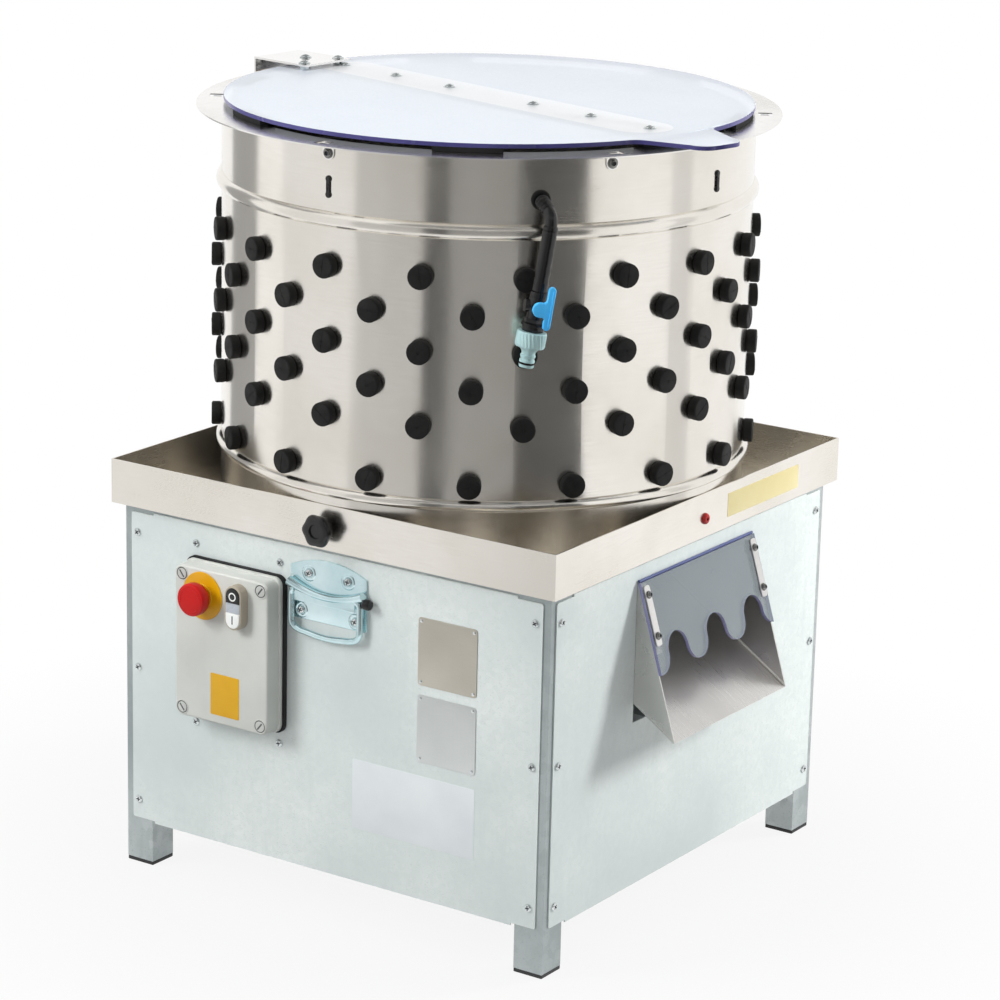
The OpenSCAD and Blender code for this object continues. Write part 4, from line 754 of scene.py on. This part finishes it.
bolts = Form()
for angle in TAB_TURNS:
    button_bolt(bolts, facing(angle) @ shift(0, TAB_BOLT_Z, DRUM_R + 1.6), 5.2, 3.3, 6.5)
for x in both(BRACKET_BOLT_X):
    seat = facing(270 + HINGE_TURN) @ shift(x, BRACKET_BOLT_Z, DRUM_R + 3.1)
    button_bolt(bolts, seat, 5.5, 5.3, 6)
bolts.piece("flange_bolt_set", "flange_bolts", ["bolt", "recess"])

# Painted shade: thin dark plates just under the flange's tab slots, where only shade lies.
shades = Form()
for angle in TAB_TURNS:
    seat = turn("Z", angle) @ shift(0, -DRUM_R - 9.5, FLANGE_LOW)
    shades.slab(rounded(15, 10, 1.5, 3), -1.2, -0.6, seat, 0.2)
shades.piece("tab_slot_painted_shade", "top_flange", ["recess"], stands_for=False)

bolts = Form()
for x in both(SHIELD_BOLT_X):
    bolts.slab(rounded(12, 74, 3, 2), 4, 5.5, SLOPE @ shift(x, -43, 0), 0.3, finish=2)
    for down in SHIELD_BOLT_DROPS:
        button_bolt(bolts, SLOPE @ shift(x, -down, 5.5), 4.0, 7, 4.9)
bolts.piece("shield_bolt_set", "shield_bolts", ["bolt", "recess", "strip_steel"])

bolts = Form()
for x in LID_BOLT_XS:
    lid_bolt(bolts, turn("Z", LID_TURN) @ shift(x + LID_BOLT_SHIFT, 0, LID_TOP), 10)
for x, y, stack in ARM_BOLTS:
    lid_bolt(bolts, turn("Z", HINGE_TURN) @ shift(x, y, ARM_TOP), stack, 5)
bolts.piece("lid_bolt_set", "lid_bolts", ["plated"])

clamps = Form()
for angle in (90, 180, 270):
    clamps.lathe([(4, -13.5), (4, 0), (7, 0.1), (7, 0.9), (6.5, 2.4), (5.4, 3.6), (3.4, 4.0),
                  (2.6, 4.0, hex_outline), (2.5, 2.0, hex_outline), (0, 1.8)],
                 facing(angle) @ shift(0, CLAMP_Z, TRAY_OUT), 36)
clamps.piece("drum_screw_set", "drum_screws", ["red_screw"])


# Control box

cover = Form()
cover.slab(rounded(142, 193, 10, 8), 11.5, COVER_FACE, BOX, 3)
cover.slab(rounded(146, 197, 11, 8), 6, 12, BOX, 1.6, 0.6)
slots = Form()
for x in both(BOX_SCREW_X):
    for y in both(BOX_SCREW_Y):
        seat = BOX @ shift(x, y, 0)
        cover.lathe([(9.4, 32.5), (9.4, 33.3), (9.0, 33.7), (8.2, 33.7), (7.9, 33.2)], seat, 36)
        # Painted shade on the ring gap's floor here and on the slot's floor below.
        cover.lathe([(7.9, 33.2), (0, 33.15)], seat, 36, 1)
        spun = seat @ turn("Z", 52 if x > 0 else -52)
        slots.lathe([(6.6, 12), (6.6, 33.4), (6.3, 33.7), (5.7, 33.75), (5.4, 33.75, slot_outline)], spun, 64)
        slots.lathe([(5.4, 33.75, slot_outline), (5.4, 33.3, slot_outline), (0, 33.3)], spun, 64, 1)
cover.piece("box_cover_shell", "box_cover", ["cover", "gap"])
slots.piece("box_screw_set", "box_screws", ["slot_grey", "gap"])

base = Form()
base.lathe([(15, 0), (29.6, 0), (30, 0.3), (30, 0.9), (29.7, 1.2), (15, 1.2)], ESTOP, 72)
base.lathe([(8.1, -9), (15, -9), (15, -4), (11, -4), (11, 0), (15, 0), (15, 1.5), (14.4, 2), (8.1, 2)],
           ESTOP, 48, closed=True)
base.piece("estop_base_disc", "estop_base", ["yellow"])
stem = Form()
stem.lathe([(0, -12), (7.4, -12), (8, -11.2), (8, 12), (7.6, 12.7), (0, 12.7)], ESTOP)
stem.piece("estop_stem_rod", "estop_stem", ["black"])
head = Form()
head.lathe([(8.05, 13), (8.05, 7.8), (12, 7.5), (15.6, 7.7), (17.6, 8.8), (19.2, 11.2), (20.1, 13.8),
            (20.5, 16.5), (20.5, 21.8), (20.2, 23.4), (19.5, 24.5), (18.6, 25.1), (18.0, 24.9),
            (17.4, 24.9), (17.0, 25.4), (12, 25.8), (6, 26), (0, 26)], ESTOP, 64)
for start in (8, 128, 248):
    arrow = [(x, y, 25.55) for x, y in arc(0, 0, 14.6, start, start + 66, 11)]
    head.tube(arrow, 0.5, ESTOP, 6)
head.piece("estop_mushroom", "estop_head", ["red"])

bezel = Form()
bezel_levels = [(0, 0), (0, 10.2)] + quarter(2.0, 13)[1:] + [(2.5, 13), (2.5, 3)]
bezel.loft(stadium(15, 13), bezel_levels, BUTTONS)
bezel.slab(rounded(20.9, 11.9, 0.4, 2), 3, 13.2, BUTTONS, 0.4, 0, 1)
bezel.piece("button_bezel_frame", "button_bezel", ["taupe", "lens"])


def push_button(name, node, side, finishes):
    """One button of the pair with its generic sign: a ring for stop, a bar for start."""
    form = Form()
    seat = BUTTONS if side > 0 else BUTTONS @ turn("Z", 180)
    cap = [(10.2, 6.3)] + arc(0, 15, 10.2, 0, 180, 24) + [(-10.2, 6.3)]
    form.slab(cap, 6.3, 14, seat, 0.9)
    form.lathe([(3, -10), (3, 6.4)], seat @ shift(0, 15, 0), 20)
    mark = seat @ shift(0, 14.6, 0)
    if side > 0:
        form.lathe([(5.4, 13.9), (5.4, 14.12), (3.8, 14.12), (3.8, 13.9)], mark, 40, 1)
    else:
        form.slab(rounded(1.7, 10.5, 0.5, 3), 13.9, 14.12, mark, 0.05, 0, 1)
    form.piece(name, node, finishes)


push_button("stop_button_cap", "stop_button", 1, ["button_black", "button_white"])
push_button("start_button_cap", "start_button", -1, ["button_white", "button_black"])


# Plates and labels, all bare

for name, z, key in zip(("name_plate_upper", "name_plate_lower"), PLATE_ZS, ("plate_warm", "plate_cool")):
    plate = Form()
    seat = facing(0) @ shift(PLATE_X, z, PANEL_OUT)
    plate.slab(rounded(PLATE_W, PLATE_W, 4), 0, 1, seat, 0.3)
    for x in both(PLATE_PIN):
        for y in both(PLATE_PIN):
            plate.lathe([(2.2, 0.9), (2.1, 1.4), (1.4, 1.8), (0, 1.9)], seat @ shift(x, y, 0), 20, 1)
    plate.piece(name, "name_plates", [key, "plated"])


def label(name, at, w, h, key, node):
    """A thin sticker with nothing on it."""
    form = Form()
    form.slab(rounded(w, h, 1.5, 3), 0, 0.25, at, 0.08)
    form.piece(name, node, [key], stands_for=False)


label("front_label", facing(0) @ shift(126, 170.3, PANEL_OUT), 178, 88, "paper", "front_panel")
label("box_label", BOX @ shift(6, -58.5, COVER_FACE), 44, 53, "label", "box_cover")
label("tray_label", facing(90) @ shift(139, 499, TRAY_OUT), 172, 30, "label_pale", "tray")


# Drop handles

def bail_path():
    """Wire from one pin, down an arm, along the grip and up to the other pin."""
    arm_x, grip_y, grip_dip = 51, -50.6, 3.4
    right = arc(44, -7, 7, 80, 0, 8) + [(arm_x, -16), (arm_x, -30)] + arc(39, -37.5, 12, 0, -72, 8)
    for x in range(36, 0, -4):
        right.append((x, grip_y - grip_dip * (0.5 + 0.5 * math.cos(math.pi * x / 42.7))))
    right.append((0, grip_y - grip_dip))
    left = [(-x, y) for x, y in reversed(right[:-1])]
    return [(x, y, WIRE_Z) for x, y in right + left]


for where, seat in HANDLES.items():
    wire = Form()
    wire.tube(bail_path(), WIRE_R, seat, 16)
    wire.piece(where + "_bail_wire", where + "_bail", ["blue_zinc"])


def roll_dip(x):
    """How far the rolled edge has come down: 0 at its ends, 1 in the middle."""
    return 1 - (x / ROLL_HALF) ** 2


def roll_y(x):
    """Height of the rolled edge's middle on the handle plate."""
    return 8 - 12 * roll_dip(x)


def roll_path():
    """The rolled edge of a handle plate: high over the pins, dipping like a smile between them."""
    steps = [ROLL_HALF * i / 36 for i in range(-36, 37)]
    return [(x, roll_y(x), 7.5 - 2 * roll_dip(x)) for x in steps]


plate_outline = (arc(0, -91.5, 131.5, 64.6, 115.4, 14) + arc(-53, -34, 4, 180, 270, 4)
                 + arc(53, -34, 4, 270, 360, 4))
flap_top = [(x, roll_y(x) - 2.5) for x in (FLAP_HALF * (1 - i / 12) for i in range(25))]
flap_outline = (flap_top + arc(2 - FLAP_HALF, -11.5, 2, 180, 270, 4)
                + arc(FLAP_HALF - 2, -11.5, 2, 270, 360, 4))
plates = Form()
for seat in HANDLES.values():
    plates.slab(plate_outline, 0, 2, seat, 0.5)
    plates.slab(flap_outline, 8.6, 10.4, seat, 0.4)
    plates.tube(roll_path(), [6.0 - 1.4 * roll_dip(x) for x, y, z in roll_path()], seat, 18)
plates.piece("handle_plate_set", "handle_plates", ["blue_zinc"])

dishes = Form()
buffers = Form()
for seat in HANDLES.values():
    for x, y in HANDLE_SCREWS:
        dishes.lathe([(10.2, 1.95), (9.4, 2.5), (8.4, 2.95), (7.2, 3.0), (6.3, 2.6), (5.6, 2.05)],
                     seat @ shift(x, y, 0), 36)
    buffers.lathe([(0, 57), (5.4, 57), (6.5, 58.4), (6.5, 64.5), (5.4, 66.4), (2, 67), (0, 67)],
                  seat @ shift(0, 0, WIRE_Z) @ turn("Y", 90), 32)
dishes.piece("handle_dishes", "handle_plates", ["blue_zinc"], stands_for=False)
buffers.piece("bail_buffer_set", "bail_stops", ["black"])


# Tray knob

knob = Form()
lobes = [(12.5, 8), (16.6, 9), (18.8, 11), (19.5, 13.4), (19.5, 15.8), (18.6, 18.2), (16.4, 19.5)]
knob.lathe([(0, -13.5), (4, -13.5), (4.6, -12.8), (4.6, 0.3), (11, 0.3), (11, 1.6), (10.4, 2.3), (9, 2.3),
            (9, 7.2)] + [(r, z, lobe_outline) for r, z in lobes]
           + [(12, 20), (8.8, 20), (8.2, 19.4), (7.8, 17.6), (0, 17.4)],
           facing(0) @ shift(0, KNOB_Z, TRAY_OUT), 72)
knob.piece("tray_knob_grip", "tray_knob", ["black"])


# Cable ties, the chute's welds and the shield's trim

ties = Form()
for angle in (0, 90, 180, 270):
    seat = facing(angle) @ shift(0, RING_Z, DRUM_R)
    ties.slab(rounded(5.6, 10, 2.6, 5), 0, 2.2, seat, 1.0)
    for y in both(9.2):
        ties.lathe([(4.1, 0), (4.0, 1.2), (3.0, 2.3), (0, 2.7)], seat @ shift(0, y, 0), 24)
ties.piece("tie_ends", "ring_ties", ["black"], stands_for=False)

weld = Form()
for y in both(CHUTE_HALF - 1.4):
    bead = [(LIP_X - s * math.cos(CHUTE_SLOPE), y, LIP_Z + 1.6 + s * math.sin(CHUTE_SLOPE))
            for s in range(2, 84, 9)]
    weld.tube(bead, 1.5, Matrix(), 8)
weld.piece("chute_weld", "chute", ["weld"], stands_for=False)

trim = Form()
trim.tube([(317.6, y, 445.4) for y in (-131, -60, 0, 60, 131)], 1.7, Matrix(), 10)
trim.piece("shield_top_trim", "chute_shield", ["trim_blue"], stands_for=False)


# Water inlet

grommet = Form()
grommet.lathe([(8.8, -1.5), (8.8, 0), (11.2, 0.1), (11.5, 0.8), (11.4, 2.4), (10.6, 3.6), (9.2, 4),
               (7.2, 3.7), (6.3, 3), (6.3, -1.5)],
              facing(INLET_TURN) @ shift(0, RING_Z, DRUM_R), 40, closed=True)
grommet.piece("inlet_grommet_ring", "inlet_grommet", ["rubber"])


def smooth_path(corners, reach, steps=8):
    """A polyline with each inner corner rounded over its reach."""
    points = [corners[0]]
    for a, b, c in zip(corners, corners[1:], corners[2:]):
        start = b + (a - b).normalized() * min(reach, (a - b).length * 0.48)
        end = b + (c - b).normalized() * min(reach, (c - b).length * 0.48)
        for i in range(steps + 1):
            t = i / steps
            points.append(start * (1 - t) ** 2 + b * 2 * t * (1 - t) + end * t * t)
    return points + [corners[-1]]


def resample(points, step):
    """The same polyline with points about one step apart."""
    made = [points[0]]
    for a, b in zip(points, points[1:]):
        count = max(1, round((b - a).length / step))
        made += [a.lerp(b, i / count) for i in range(1, count + 1)]
    return made


INLET_BORE_R, HOSE_TOP = 6.3, 16.0
RIBS_START, RIBS_END, FIRST_RIB, RIB_PITCH, RIB_DEPTH = 11.0, 30.0, 13.5, 5.2, 1.5
outward = facing(INLET_TURN)
corners = [outward @ Vector((0, RING_Z, 318)), outward @ Vector((0, RING_Z, DRUM_R + 9)),
           PIPE @ Vector((0, 0, 0)), PIPE @ Vector((0, 0, 31))]
route = resample(smooth_path(corners, 11), 0.8)
gone = 0.0
radii = []
for i, p in enumerate(route):
    gone += (p - route[i - 1]).length if i else 0
    r = INLET_BORE_R + (0.7 if gone > RIBS_START else -0.3)
    if RIBS_START < gone < RIBS_END:
        r += RIB_DEPTH * max(0.0, math.cos(2 * math.pi * (gone - FIRST_RIB) / RIB_PITCH)) ** 0.6
    elif gone > RIBS_END and -5.2 < (PIPE.inverted() @ p).z - HOSE_TOP < -1:
        r += 1.6
    radii.append(r)
elbow = Form()
elbow.tube(route, radii, Matrix(), 22)
elbow.piece("inlet_elbow_ribbed", "inlet_elbow", ["black"])

hose = Form()
hose.lathe([(INLET_BORE_R, HOSE_TOP), (7.8, HOSE_TOP), (8.4, 16.8), (8.5, 19), (8.5, 34), (8.2, 36),
            (8.2, 37.4), (8.6, 39.4), (8.7, 54), (8.3, 56.4), (8.3, 57.6), (8.8, 60), (8.8, 69), (8.4, 71),
            (8.9, 73), (8.9, 84.6), (8.5, 86), (INLET_BORE_R, 86)], PIPE, 40, closed=True)
hose.piece("inlet_hose_sleeve", "inlet_hose", ["black"])

valve = Form()
valve.lathe([(0, 71), (5.6, 71), (6, 72), (6, 87), (9.6, 87), (10, 87.6), (10, 92.4), (9.2, 93), (9.4, 94.5),
             (10.6, 98), (11.4, 102), (11.5, 106), (10.8, 110), (9.6, 113), (9.4, 116), (9.6, 118),
             (12, 118.2, hex_outline), (12.2, 119, hex_outline), (12.2, 122.6, hex_outline), (12.6, 123.2),
             (14.6, 123.6), (14.8, 125), (14.4, 126.4), (12.8, 126.8), (12.8, 132), (12.2, 132.8), (8, 133),
             (8, 145.4), (7.4, 146), (0, 146)], PIPE, 48)
valve.lathe([(8, 0), (8, 13.6), (7.4, 15), (3.2, 15), (3.1, 10)], LEVER, 36)
valve.lathe([(7.6, 8), (7.6, 13.4), (7.0, 14.4), (0, 14.4)], LEVER @ turn("Y", -90), 36)
valve.piece("valve_body_shell", "valve_body", ["black"])

lever = Form()
grip_outline = (arc(10.4, 23.5, 4.4, 0, 180, 10) + [(6, 12)] + arc(3.4, 11.2, 2.6, 0, -70, 5)
                + arc(0, 0, 8.8, 68, 292, 22) + arc(3.4, -11.2, 2.6, 70, 0, 5) + [(6, -12)]
                + arc(10.4, -18.6, 4.4, 180, 360, 10))
lever.slab(grip_outline, 16.5, 22, LEVER, 1.2, 0.8)
lever.slab(rounded(3.0, 42, 1.4, 4), 21.5, 23, LEVER @ shift(12.6, 2.5, 0), 0.7)
lever.slab(arc(0, 0, 7, 0, 354, 59), 15.3, 17, LEVER, 0.2)
lever.lathe([(0, 5), (3, 5), (3, 16)], LEVER, 20)
lever.piece("valve_lever_arm", "valve_lever", ["lever"])


def slanted(lean):
    """Fine ribs round a grip, leaning as the height goes on."""
    ribs, depth = 26, 0.035
    return lambda angle: 1 + depth * max(-0.4, math.cos(ribs * angle + lean))


nose = Form()
grip = [(17.0, 135.4 + 1.7 * i, slanted(0.55 * i)) for i in range(9)]
nose.lathe([(8.2, 133.4), (16.2, 133.4), (17.0, 134.2)] + grip
           + [(17.0, 150.6), (16.4, 151.6), (12.2, 151.8), (11.2, 153.4), (9.0, 156), (8.0, 158),
              (8.0, 160.4), (8.9, 161.4), (8.9, 163.2), (8.1, 164.2), (8.1, 166), (8.9, 167), (8.9, 169.6),
              (7.9, 169.6), (7.9, 172.4), (8.9, 172.4), (8.9, 174.2), (8.2, 175.6), (5.4, 175.6), (5, 175),
              (5, 150)], PIPE, 156)
nose.lathe(arc(7.9, 171, 1.2, 0, 330, 11), PIPE, 48, 1, closed=True)
nose.piece("hose_connector_nose", "hose_connector", ["connector", "rubber"])


# Sheet and clear parts that keep the solids' shape

def upright(edge):
    """Picks the outer corners that run along z."""
    return edge.is_convex and abs((edge.verts[0].co - edge.verts[1].co).normalized().z) > 0.9


def rim(normal, out):
    """1 on the rim of a sheet that faces out, 0 on its broad sides."""
    return int(abs(normal.dot(out)) < 0.75)


soften("legs", ["tube"], 3.0, 3, upright)
soften("foot_caps", ["cap"], 0.9)
soften("hinge_arm", ["arm"], 0.35)
soften("hinge_bracket", ["bright"], 0.5)
soften("lid", ["lid", "lid_edge"], 0.5, paint=lambda n: rim(n, Vector((0, 0, 1))))
slope_out = (SLOPE.to_3x3() @ Vector((0, 0, 1))).normalized()
soften("chute_shield", ["shield", "shield_edge"], 0.4, paint=lambda n: rim(n, slope_out))
soften("box_gasket", ["soft_black"], 0.8)
soften("lid_strip", ["white_strip"], 0.5)

PLAIN = {
    "frame_rails": "tube", "front_panel": "panel", "right_panel": "panel", "rear_panel": "panel",
    "left_panel": "panel", "tray": "tray", "drum": "drum", "top_flange": "flange", "spray_ring": "black",
    "ring_ties": "black", "control_box": "body_grey", "chute": "sheet", "lid_pads": "soft_black",
    "hinge_pin": "machined", "rotor_plate": "sheet", "rotor_hub": "machined", "main_shaft": "machined",
    "drive_pulley": "cast", "drive_belt": "belt", "motor": "motor", "motor_pulley": "machined",
    "mounting_plates": "tube", "bearing_housings": "cast", "bearings": "machined", "mains_gland": "black",
}
for node, key in PLAIN.items():
    NODES[node].data.materials.clear()
    NODES[node].data.materials.append(FINISH[key])

SCENE.view_settings.view_transform = "Standard"
